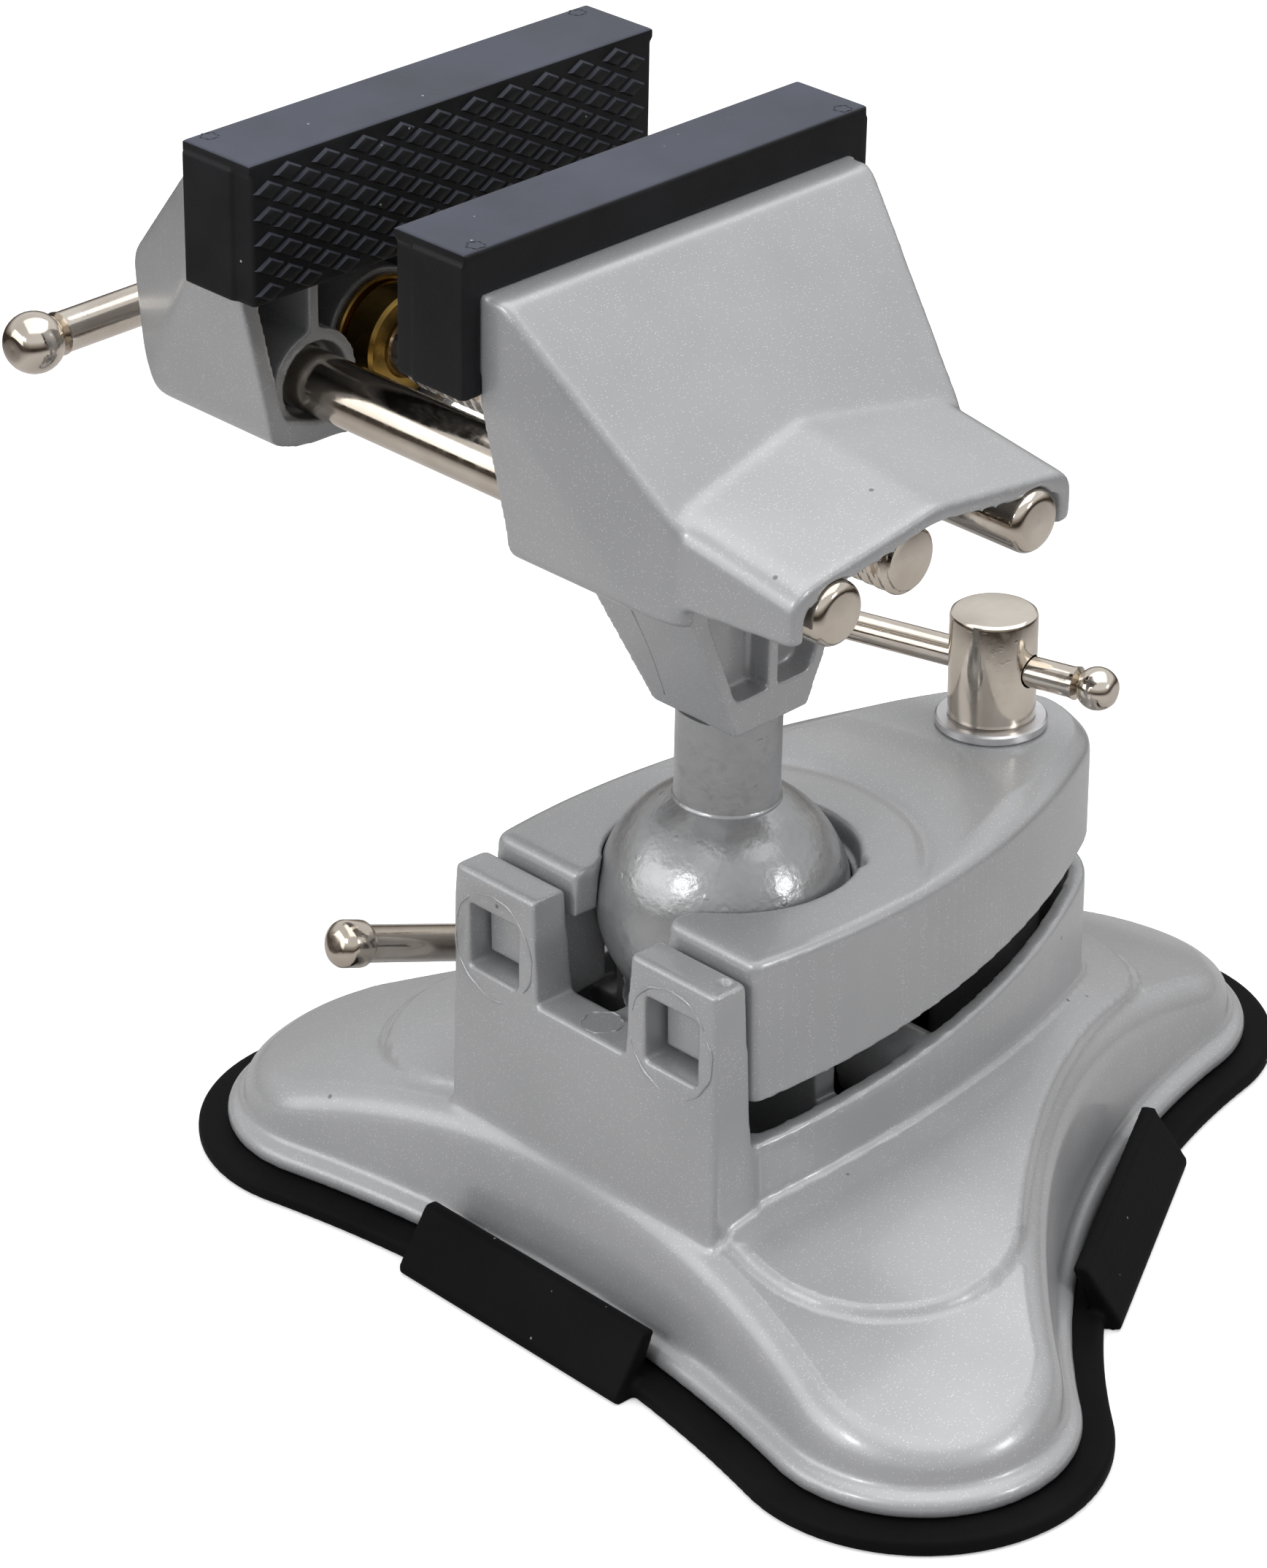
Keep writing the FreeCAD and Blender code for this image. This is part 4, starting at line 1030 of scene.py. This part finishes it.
def make_clamp_bar(nickel):
    piece = knobbed_bar(*clamp_bar_ends(-38.0, 19.9), 2.3, 3.2, 6.0)
    finish(piece, "clamp_bar", "clamp_bar", "clamp_tommy_bar", nickel, False, 50)


def make_clamp_screw(nickel):
    """The cross-drilled head on the washer and the plain shank down to the post."""
    shank_r, head_r, low = 4.0, 6.45, 12.0
    under = SEAT_TOP + WASHER_T
    top = under + SCREW_HEAD_H
    profile = [(0, low), (shank_r - 0.8, low), (shank_r, low + 0.8), (shank_r, under),
               (head_r - 0.35, under), (head_r, under + 0.35), (head_r, top - 0.75), (6.3, top - 0.3),
               (5.9, top - 0.03), (5.7, top), (0, top)]
    piece = lathe(profile, (0, SCREW_Y, 0), (0, 0, 1), 128)
    cut(piece, rod(*clamp_bar_ends(-12, 12), 2.5))
    finish(piece, "clamp_screw_body", "clamp_screw", "clamp_screw", nickel, False, 30)


def washer_profile(inner, outer, low, high, edge):
    return [(inner, low), (outer - edge, low), (outer, low + edge), (outer, high - edge),
            (outer - edge, high), (inner + edge, high), (inner, high - edge)]


def make_clamp_washer(plate):
    profile = washer_profile(4.2, 8.25, SEAT_TOP, SEAT_TOP + WASHER_T, 0.3)
    ring = lathe(profile, (0, SCREW_Y, 0), (0, 0, 1), closed=True)
    finish(ring, "washer_ring", "washer", "clamp_washer", plate, False, 30)


def make_guide_rod(y, node, nickel):
    """A plain rod with a rounded free end."""
    length = ROD_ENDS[1] - ROD_ENDS[0]
    round_at = length - 1.7
    profile = [(0, 0), (ROD_R, 0), (ROD_R, round_at)]
    for turn in turns(0, math.pi / 2, 8, 1):
        profile.append((ROD_R - 1.5 * (1 - math.cos(turn)), round_at + 1.6 * math.sin(turn)))
    profile += [(1.0, length - 0.05), (0, length)]
    piece = lathe(profile, (ROD_ENDS[0], y, ROD_Z), (1, 0, 0))
    finish(piece, node + "_bar", "moving_jaw", node, nickel, True, 40)


def screw_head():
    """The cross-drilled head and the plain journal of the lead screw."""
    start, journal_r, head_r = -107.0, LEAD_R, 7.0
    profile = [(0, start), (head_r - 0.8, start), (head_r, -106.3), (head_r, -92.0), (head_r - 0.2, -91.4),
               (journal_r, -91.4), (journal_r, -61.0), (journal_r - 0.3, -60.5), (0, -60.5)]
    head = lathe([(r, x - start) for r, x in profile], (start, 0, LEAD_Z), (1, 0, 0))
    return cut(head, rod((JAW_BAR_X, -12, LEAD_Z), (JAW_BAR_X, 12, LEAD_Z), 3.2))


def screw_thread():
    """A real helix: at every station the radius depends on the angle, one crest per pitch."""
    around, per_pitch = 64, 16
    start, end, pitch = -60.8, 31.2, 2.0
    root_r, crest = 4.15, 0.83
    angles = full_turn(around)
    rings = []
    for x in np.arange(start, end - 0.01, pitch / per_pitch):
        fade = min(1.0, max(0.0, (x + 60.5) / 1.5))
        ring = []
        for i, turn in enumerate(angles):
            phase = ((x / pitch) - i / around) % 1.0
            drop = min(max((abs(phase - 0.5) - 0.13) / 0.17, 0.0), 1.0)
            radius = min(root_r + crest * (1 - drop) * fade, root_r + 0.2 + (end - x) * 0.9)
            ring.append((x, radius * math.cos(turn), LEAD_Z + radius * math.sin(turn)))
        rings.append(ring)
    tip_r = root_r - 0.05
    rings.append([(end, tip_r * math.cos(turn), LEAD_Z + tip_r * math.sin(turn)) for turn in angles])
    return skin(rings)


def make_lead_screw(nickel):
    piece = join(screw_head(), screw_thread())
    finish(piece, "lead_screw_body", "lead_screw", "lead_screw", nickel, True, 38)


def make_thrust_parts(brass):
    """The thrust washer and the pinned collar, both yellow plated."""
    for name, node, outer, ends, edge in (("thrust_ring", "thrust_washer", 8.6, THRUST_X, 0.25),
                                          ("collar_ring", "thrust_collar", 7.8, COLLAR_X, 0.5)):
        profile = washer_profile(LEAD_R + 0.02, outer, *ends, edge)
        ring = lathe(profile, (0, 0, LEAD_Z), (1, 0, 0), closed=True)
        finish(ring, name, "lead_screw", node, brass, True, 30)


def make_lever(nickel):
    """The lever's round bar with the turned knob at its end, rising to the front from the cam shaft."""
    rise = math.radians(20.2)
    direction = Vector((0, -math.cos(rise), math.sin(rise)))
    hub = Vector((-31.0, 0, CAM_Z))
    bar_r, knob_r = 2.7, 3.4
    profile = [(0, 0), (bar_r - 0.4, 0), (bar_r, 0.4), (bar_r, 62.2), (bar_r + 0.05, 62.4),
               (knob_r - 0.05, 63.1), (knob_r, 63.5), (knob_r, 66.4), (knob_r - 0.3, 67.0), (2.0, 67.9),
               (1.2, 68.0), (0, 68.0)]
    piece = lathe(profile, hub - direction * 4.0, direction, 72)
    finish(piece, "lever_bar", "lever", "suction_lever", nickel, False, 35)


# ---------------------------------------------------------------- materials

def linear(*colour):
    """A colour written as it looks on a screen, turned into light values."""
    light = [((c + 0.055) / 1.055) ** 2.4 if c > 0.04045 else c / 12.92 for c in colour]
    return (*light, 1.0)


class Nodes:
    """A small helper that adds shader nodes and wires them up."""

    def __init__(self, name):
        self.material = bpy.data.materials.new(name)
        self.material.use_nodes = True
        self.tree = self.material.node_tree
        self.surface = self.tree.nodes["Principled BSDF"]
        self.place = self.tree.nodes.new("ShaderNodeTexCoord").outputs["Object"]

    def link(self, source, target):
        self.tree.links.new(source, target)

    def feed(self, value, socket):
        """Give a socket a plain value, or wire another node's output to it."""
        if isinstance(value, (int, float, tuple)):
            socket.default_value = value
        else:
            self.link(value, socket)

    def noise(self, scale, detail=3.0, roughness=0.5, stretch=None):
        node = self.tree.nodes.new("ShaderNodeTexNoise")
        node.inputs["Scale"].default_value = scale
        node.inputs["Detail"].default_value = detail
        node.inputs["Roughness"].default_value = roughness
        if stretch is None:
            self.link(self.place, node.inputs["Vector"])
        else:
            mapping = self.tree.nodes.new("ShaderNodeMapping")
            mapping.inputs["Scale"].default_value = stretch
            self.link(self.place, mapping.inputs["Vector"])
            self.link(mapping.outputs["Vector"], node.inputs["Vector"])
        return node.outputs["Fac"]

    def cells(self, scale, output="Distance"):
        node = self.tree.nodes.new("ShaderNodeTexVoronoi")
        node.inputs["Scale"].default_value = scale
        self.link(self.place, node.inputs["Vector"])
        return node.outputs[output]

    def spread(self, source, low, high, to_low=0.0, to_high=1.0):
        node = self.tree.nodes.new("ShaderNodeMapRange")
        node.inputs["From Min"].default_value = low
        node.inputs["From Max"].default_value = high
        node.inputs["To Min"].default_value = to_low
        node.inputs["To Max"].default_value = to_high
        self.link(source, node.inputs["Value"])
        return node.outputs["Result"]

    def math(self, operation, first, second):
        node = self.tree.nodes.new("ShaderNodeMath")
        node.operation = operation
        self.feed(first, node.inputs[0])
        self.feed(second, node.inputs[1])
        return node.outputs["Value"]

    def mix(self, factor, first, second):
        node = self.tree.nodes.new("ShaderNodeMix")
        node.data_type = "RGBA"
        self.feed(factor, node.inputs["Factor"])
        self.feed(first, node.inputs[6])
        self.feed(second, node.inputs[7])
        return node.outputs[2]

    def between(self, source, low, high, dark, light):
        """From one screen colour to another as a value goes from low to high."""
        return self.mix(self.spread(source, low, high), linear(*dark), linear(*light))

    def over(self, base, mask, strength, colour):
        """A screen colour laid over a base where a mask is 1."""
        return self.mix(self.math("MULTIPLY", mask, strength), base, linear(*colour))

    def speckle(self, scale, share, size):
        """Small dots: 1 inside a dot, 0 elsewhere.  A share of the cells carries one."""
        distance = self.cells(scale)
        colour = self.cells(scale, output="Color")
        split = self.tree.nodes.new("ShaderNodeSeparateColor")
        self.link(colour, split.inputs["Color"])
        chosen = self.math("LESS_THAN", split.outputs["Red"], share)
        near = self.spread(distance, size, size * 0.6)
        return self.math("MULTIPLY", chosen, near)

    def bump(self, height, strength, distance):
        node = self.tree.nodes.new("ShaderNodeBump")
        node.inputs["Strength"].default_value = strength
        node.inputs["Distance"].default_value = distance
        self.link(height, node.inputs["Height"])
        self.link(node.outputs["Normal"], self.surface.inputs["Normal"])

    def set(self, **values):
        for name, value in values.items():
            self.feed(value, self.surface.inputs[name.replace("_", " ")])


def painted_zinc():
    """Satin silver-grey paint with fine metal flakes, a few pits and faint scratches."""
    look = Nodes("painted_zinc")
    cloud = look.noise(38, 4)
    flake = look.speckle(3600, 0.22, 0.40)
    pit = look.speckle(230, 0.05, 0.10)
    scratch = look.spread(look.noise(160, 2, 0.5, (1.0, 0.12, 0.5)), 0.735, 0.76)
    base = look.between(cloud, 0.35, 0.65, (0.640, 0.645, 0.650), (0.670, 0.673, 0.680))
    base = look.over(base, flake, 0.5, (0.88, 0.88, 0.89))
    base = look.over(base, pit, 0.7, (0.25, 0.25, 0.26))
    base = look.over(base, scratch, 0.35, (0.38, 0.38, 0.39))
    rough = look.spread(look.noise(90, 3), 0.3, 0.7, 0.36, 0.46)
    look.set(Base_Color=base, Metallic=0.35, Roughness=rough, Coat_Weight=0.55, Coat_Roughness=0.13)
    grain = look.math("ADD", look.math("MULTIPLY", look.noise(1500, 2), 0.5), look.noise(240, 3))
    look.bump(look.math("SUBTRACT", grain, look.math("MULTIPLY", pit, 2.0)), 0.22, 0.00012)
    return look.material


def bare_zinc():
    """Unpainted, lightly polished zinc with stains."""
    look = Nodes("bare_zinc")
    stain = look.noise(55, 6, 0.65)
    fine = look.noise(420, 4, 0.6)
    base = look.between(stain, 0.35, 0.68, (0.665, 0.67, 0.675), (0.585, 0.59, 0.595))
    base = look.mix(look.spread(fine, 0.55, 0.75, 0.0, 0.3), base, linear(0.44, 0.44, 0.44))
    rough = look.spread(look.noise(70, 5, 0.6), 0.3, 0.7, 0.22, 0.34)
    look.set(Base_Color=base, Metallic=0.55, Roughness=rough)
    pits = look.math("ADD", look.noise(750, 3), look.math("MULTIPLY", look.speckle(500, 0.25, 0.30), 0.5))
    look.bump(look.math("ADD", pits, look.math("MULTIPLY", fine, 0.5)), 0.4, 0.00022)
    return look.material


def nickel():
    """Bright nickel plating with faint turning marks."""
    look = Nodes("nickel")
    stain = look.noise(60, 4)
    fine = look.noise(900, 2)
    base = look.between(stain, 0.35, 0.7, (0.86, 0.83, 0.79), (0.74, 0.70, 0.65))
    rough = look.spread(fine, 0.3, 0.7, 0.07, 0.18)
    look.set(Base_Color=base, Metallic=1.0, Roughness=rough)
    scratch = look.spread(look.noise(700, 2, 0.5, (0.2, 1.0, 1.0)), 0.62, 0.7)
    marks = look.math("ADD", look.math("MULTIPLY", fine, 0.4), look.math("MULTIPLY", scratch, 0.5))
    look.bump(marks, 0.12, 0.00008)
    return look.material


def zinc_plate():
    """Dull zinc plating, a little patchy."""
    look = Nodes("zinc_plate")
    patch = look.noise(120, 5, 0.6)
    base = look.between(patch, 0.35, 0.65, (0.80, 0.80, 0.81), (0.90, 0.90, 0.91))
    look.set(Base_Color=base, Metallic=1.0, Roughness=look.spread(patch, 0.3, 0.7, 0.28, 0.45))
    look.bump(look.noise(1200, 3), 0.15, 0.0001)
    return look.material


def brass():
    """Yellow plating of the two thrust rings."""
    look = Nodes("brass")
    patch = look.noise(140, 4)
    base = look.between(patch, 0.35, 0.65, (0.60, 0.47, 0.22), (0.70, 0.58, 0.32))
    look.set(Base_Color=base, Metallic=1.0, Roughness=look.spread(patch, 0.3, 0.7, 0.22, 0.38))
    look.bump(look.noise(1300, 2), 0.12, 0.0001)
    return look.material


def jaw_rubber():
    """Moulded dark grey-blue rubber; its upper faces are painted lighter, partly dust and partly a painted
    sheen of the sky.
    """
    look = Nodes("jaw_rubber")
    cloud = look.noise(60, 5, 0.6)
    geometry = look.tree.nodes.new("ShaderNodeNewGeometry")
    split = look.tree.nodes.new("ShaderNodeSeparateXYZ")
    look.link(geometry.outputs["Normal"], split.inputs["Vector"])
    # painted sheen and dust: faces that point up are painted lighter, as where the top light reflects off
    # them
    upward = look.spread(split.outputs["Z"], 0.55, 0.95)
    dark = look.between(cloud, 0.35, 0.65, (0.075, 0.076, 0.084), (0.105, 0.108, 0.118))
    dust_and_painted_sheen = look.between(cloud, 0.3, 0.7, (0.25, 0.26, 0.30), (0.31, 0.325, 0.37))
    base = look.mix(upward, dark, dust_and_painted_sheen)
    base = look.over(base, look.speckle(520, 0.07, 0.11), 0.8, (0.72, 0.72, 0.72))
    rough = look.spread(cloud, 0.3, 0.7, 0.42, 0.58)
    look.set(Base_Color=base, Roughness=rough, Specular_IOR_Level=0.20)
    look.bump(look.math("ADD", look.noise(1800, 2), look.noise(300, 3)), 0.25, 0.0001)
    return look.material


def pad_rubber():
    """Black rubber of the suction pad with dust on it."""
    look = Nodes("pad_rubber")
    cloud = look.noise(45, 5, 0.6)
    base = look.between(cloud, 0.35, 0.65, (0.055, 0.055, 0.056), (0.085, 0.085, 0.087))
    base = look.over(base, look.speckle(420, 0.10, 0.10), 0.7, (0.62, 0.61, 0.60))
    rough = look.spread(cloud, 0.3, 0.7, 0.48, 0.64)
    look.set(Base_Color=base, Roughness=rough, Specular_IOR_Level=0.04)
    look.bump(look.math("ADD", look.noise(1500, 2), look.noise(200, 4)), 0.3, 0.00015)
    return look.material


def floor_paper():
    """White paper: bright to the camera, and in mirrors bright near the part but dark brown far away."""
    look = Nodes("floor_paper")
    path = look.tree.nodes.new("ShaderNodeLightPath")
    seen = path.outputs["Is Camera Ray"]
    reach = look.tree.nodes.new("ShaderNodeVectorMath")
    reach.operation = "LENGTH"
    look.link(look.place, reach.inputs[0])
    white = look.mix(look.noise(3, 2), linear(0.97, 0.97, 0.975), linear(1.0, 1.0, 1.0))
    bounce = look.mix(look.noise(5, 2), linear(0.66, 0.66, 0.665), linear(0.68, 0.68, 0.68))
    far = look.spread(reach.outputs["Value"], 0.22, 0.52)
    mirrored = look.mix(far, linear(0.76, 0.75, 0.74), linear(0.20, 0.17, 0.14))
    colour = look.mix(path.outputs["Is Glossy Ray"], bounce, mirrored)
    look.set(Base_Color=look.mix(seen, colour, white), Roughness=0.85, Specular_IOR_Level=0.1)
    look.set(Emission_Color=(1.0, 1.0, 1.0, 1.0), Emission_Strength=look.math("MULTIPLY", seen, 0.32))
    return look.material


# ---------------------------------------------------------------- CAD nodes that stay

INNER_NODES = ("cam_shaft", "shaft_clip", "pull_stud", "collar_pin", "rod_pins", "swivel_screw", "lead_nut")


def dress_inner_nodes(plate):
    """The fasteners and shafts inside keep their CAD shape and get their finish."""
    for name in INNER_NODES:
        node = frame["nodes"][name]
        node.data.materials.clear()
        node.data.materials.append(plate)
        smooth_shade(node, 30)


# ---------------------------------------------------------------- stage, light and camera

def make_floor():
    """A large pale floor just under the pad."""
    span = (-4000, 4000)
    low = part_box("suction_pad")[0].z / MM - 0.05
    floor = block(span, span, (low - 10, low))
    floor.name = "floor"
    floor.data.name = "floor"
    floor.data.materials.append(floor_paper())


def area_light(name, place, target, size, power):
    data = bpy.data.lights.new(name, "AREA")
    data.shape = "RECTANGLE"
    data.size, data.size_y = size[0] * MM, size[1] * MM
    data.energy = power
    light = bpy.data.objects.new(name, data)
    bpy.context.scene.collection.objects.link(light)
    light.location = Vector(place) * MM
    light.rotation_euler = (Vector(target) - Vector(place)).to_track_quat("-Z", "Y").to_euler()


def make_world():
    """A bright room: white to the camera, a soft overhead glow, and warm and dark low down in mirrors."""
    world = bpy.data.worlds.new("studio")
    bpy.context.scene.world = world
    bpy.context.scene.view_settings.view_transform = "Standard"
    world.use_nodes = True
    tree = world.node_tree
    path = tree.nodes.new("ShaderNodeLightPath")
    direction = tree.nodes.new("ShaderNodeSeparateXYZ")
    tree.links.new(tree.nodes.new("ShaderNodeTexCoord").outputs["Generated"], direction.inputs["Vector"])

    def ramp(stops):
        node = tree.nodes.new("ShaderNodeValToRGB")
        height = tree.nodes.new("ShaderNodeMapRange")
        height.inputs["From Min"].default_value = -1.0
        tree.links.new(direction.outputs["Z"], height.inputs["Value"])
        tree.links.new(height.outputs["Result"], node.inputs["Fac"])
        while len(node.color_ramp.elements) < len(stops):
            node.color_ramp.elements.new(0.5)
        for element, (place, colour) in zip(node.color_ramp.elements, stops):
            element.position = place
            element.color = colour + (1.0,)
        return node.outputs["Color"]

    def choose(factor, first, second):
        node = tree.nodes.new("ShaderNodeMix")
        node.data_type = "RGBA"
        tree.links.new(factor, node.inputs["Factor"])
        tree.links.new(first, node.inputs[6])
        if isinstance(second, tuple):
            node.inputs[7].default_value = second
        else:
            tree.links.new(second, node.inputs[7])
        return node.outputs[2]

    shading = ramp([(0.0, (0.20, 0.20, 0.21)), (0.50, (0.28, 0.28, 0.29)), (0.70, (0.56, 0.56, 0.58)),
                    (1.0, (0.80, 0.80, 0.81))])
    mirrored = ramp([(0.0, (0.10, 0.085, 0.075)), (0.49, (0.14, 0.12, 0.10)), (0.58, (0.42, 0.39, 0.36)),
                     (0.68, (0.86, 0.86, 0.86)), (1.0, (0.80, 0.80, 0.80))])
    colour = choose(path.outputs["Is Glossy Ray"], shading, mirrored)
    colour = choose(path.outputs["Is Camera Ray"], colour, (1.0, 1.0, 1.0, 1.0))
    tree.links.new(colour, tree.nodes["Background"].inputs["Color"])


def make_lights():
    """A broad overhead softbox, and three that light the left side and give the ball its two highlights."""
    centre = Vector((0, -10, 80))
    for name, offset, size, power in (("overhead", (60, 120, 1000), (1300, 1300), 6.6),
                                      ("left", (-420, -900, 330), (900, 600), 2.7),
                                      ("front", (63, -787, 432), (150, 150), 1.3),
                                      ("right", (794, 275, 323), (140, 170), 1.2)):
        area_light(name, centre + Vector(offset), centre, size, power)


CAMERA_AT = (431.8, -427.1, 377.9)
CAMERA_AIM = (0, -20.5, 76.9)
LENS = 111.4
SHIFT = (-0.0394, -0.0109)


def make_camera():
    data = bpy.data.cameras.new("camera")
    data.lens = LENS
    data.sensor_width = 36.0
    data.sensor_fit = "AUTO"
    data.shift_x, data.shift_y = SHIFT
    data.clip_end = 50.0
    camera = bpy.data.objects.new("camera", data)
    bpy.context.scene.collection.objects.link(camera)
    place = Vector(CAMERA_AT)
    camera.location = place * MM
    camera.rotation_euler = (Vector(CAMERA_AIM) - place).to_track_quat("-Z", "Y").to_euler()
    bpy.context.scene.camera = camera


# ---------------------------------------------------------------- build

def build():
    paint, zinc, bright, plate = painted_zinc(), bare_zinc(), nickel(), zinc_plate()
    yellow, cover_rubber = brass(), jaw_rubber()
    make_base(paint)
    make_pad(pad_rubber())
    make_lid(paint)
    make_fixed_jaw(paint)
    make_moving_jaw(paint)
    make_cover("fixed_cover_skin", "fixed_jaw", "fixed_jaw_cover", -26.3, -12.6, cover_rubber)
    make_cover("moving_cover_skin", "moving_jaw", "moving_jaw_cover", -52.8, -66.7, cover_rubber)
    make_ball(zinc)
    make_neck(zinc)
    make_clamp_washer(plate)
    make_clamp_screw(bright)
    make_clamp_bar(bright)
    for y, node in ((-ROD_Y, "guide_rod_front"), (ROD_Y, "guide_rod_rear")):
        make_guide_rod(y, node, bright)
    make_lead_screw(bright)
    make_thrust_parts(yellow)
    make_jaw_bar(bright)
    make_lever(bright)
    dress_inner_nodes(plate)
    make_floor()
    make_world()
    make_lights()
    make_camera()


build()
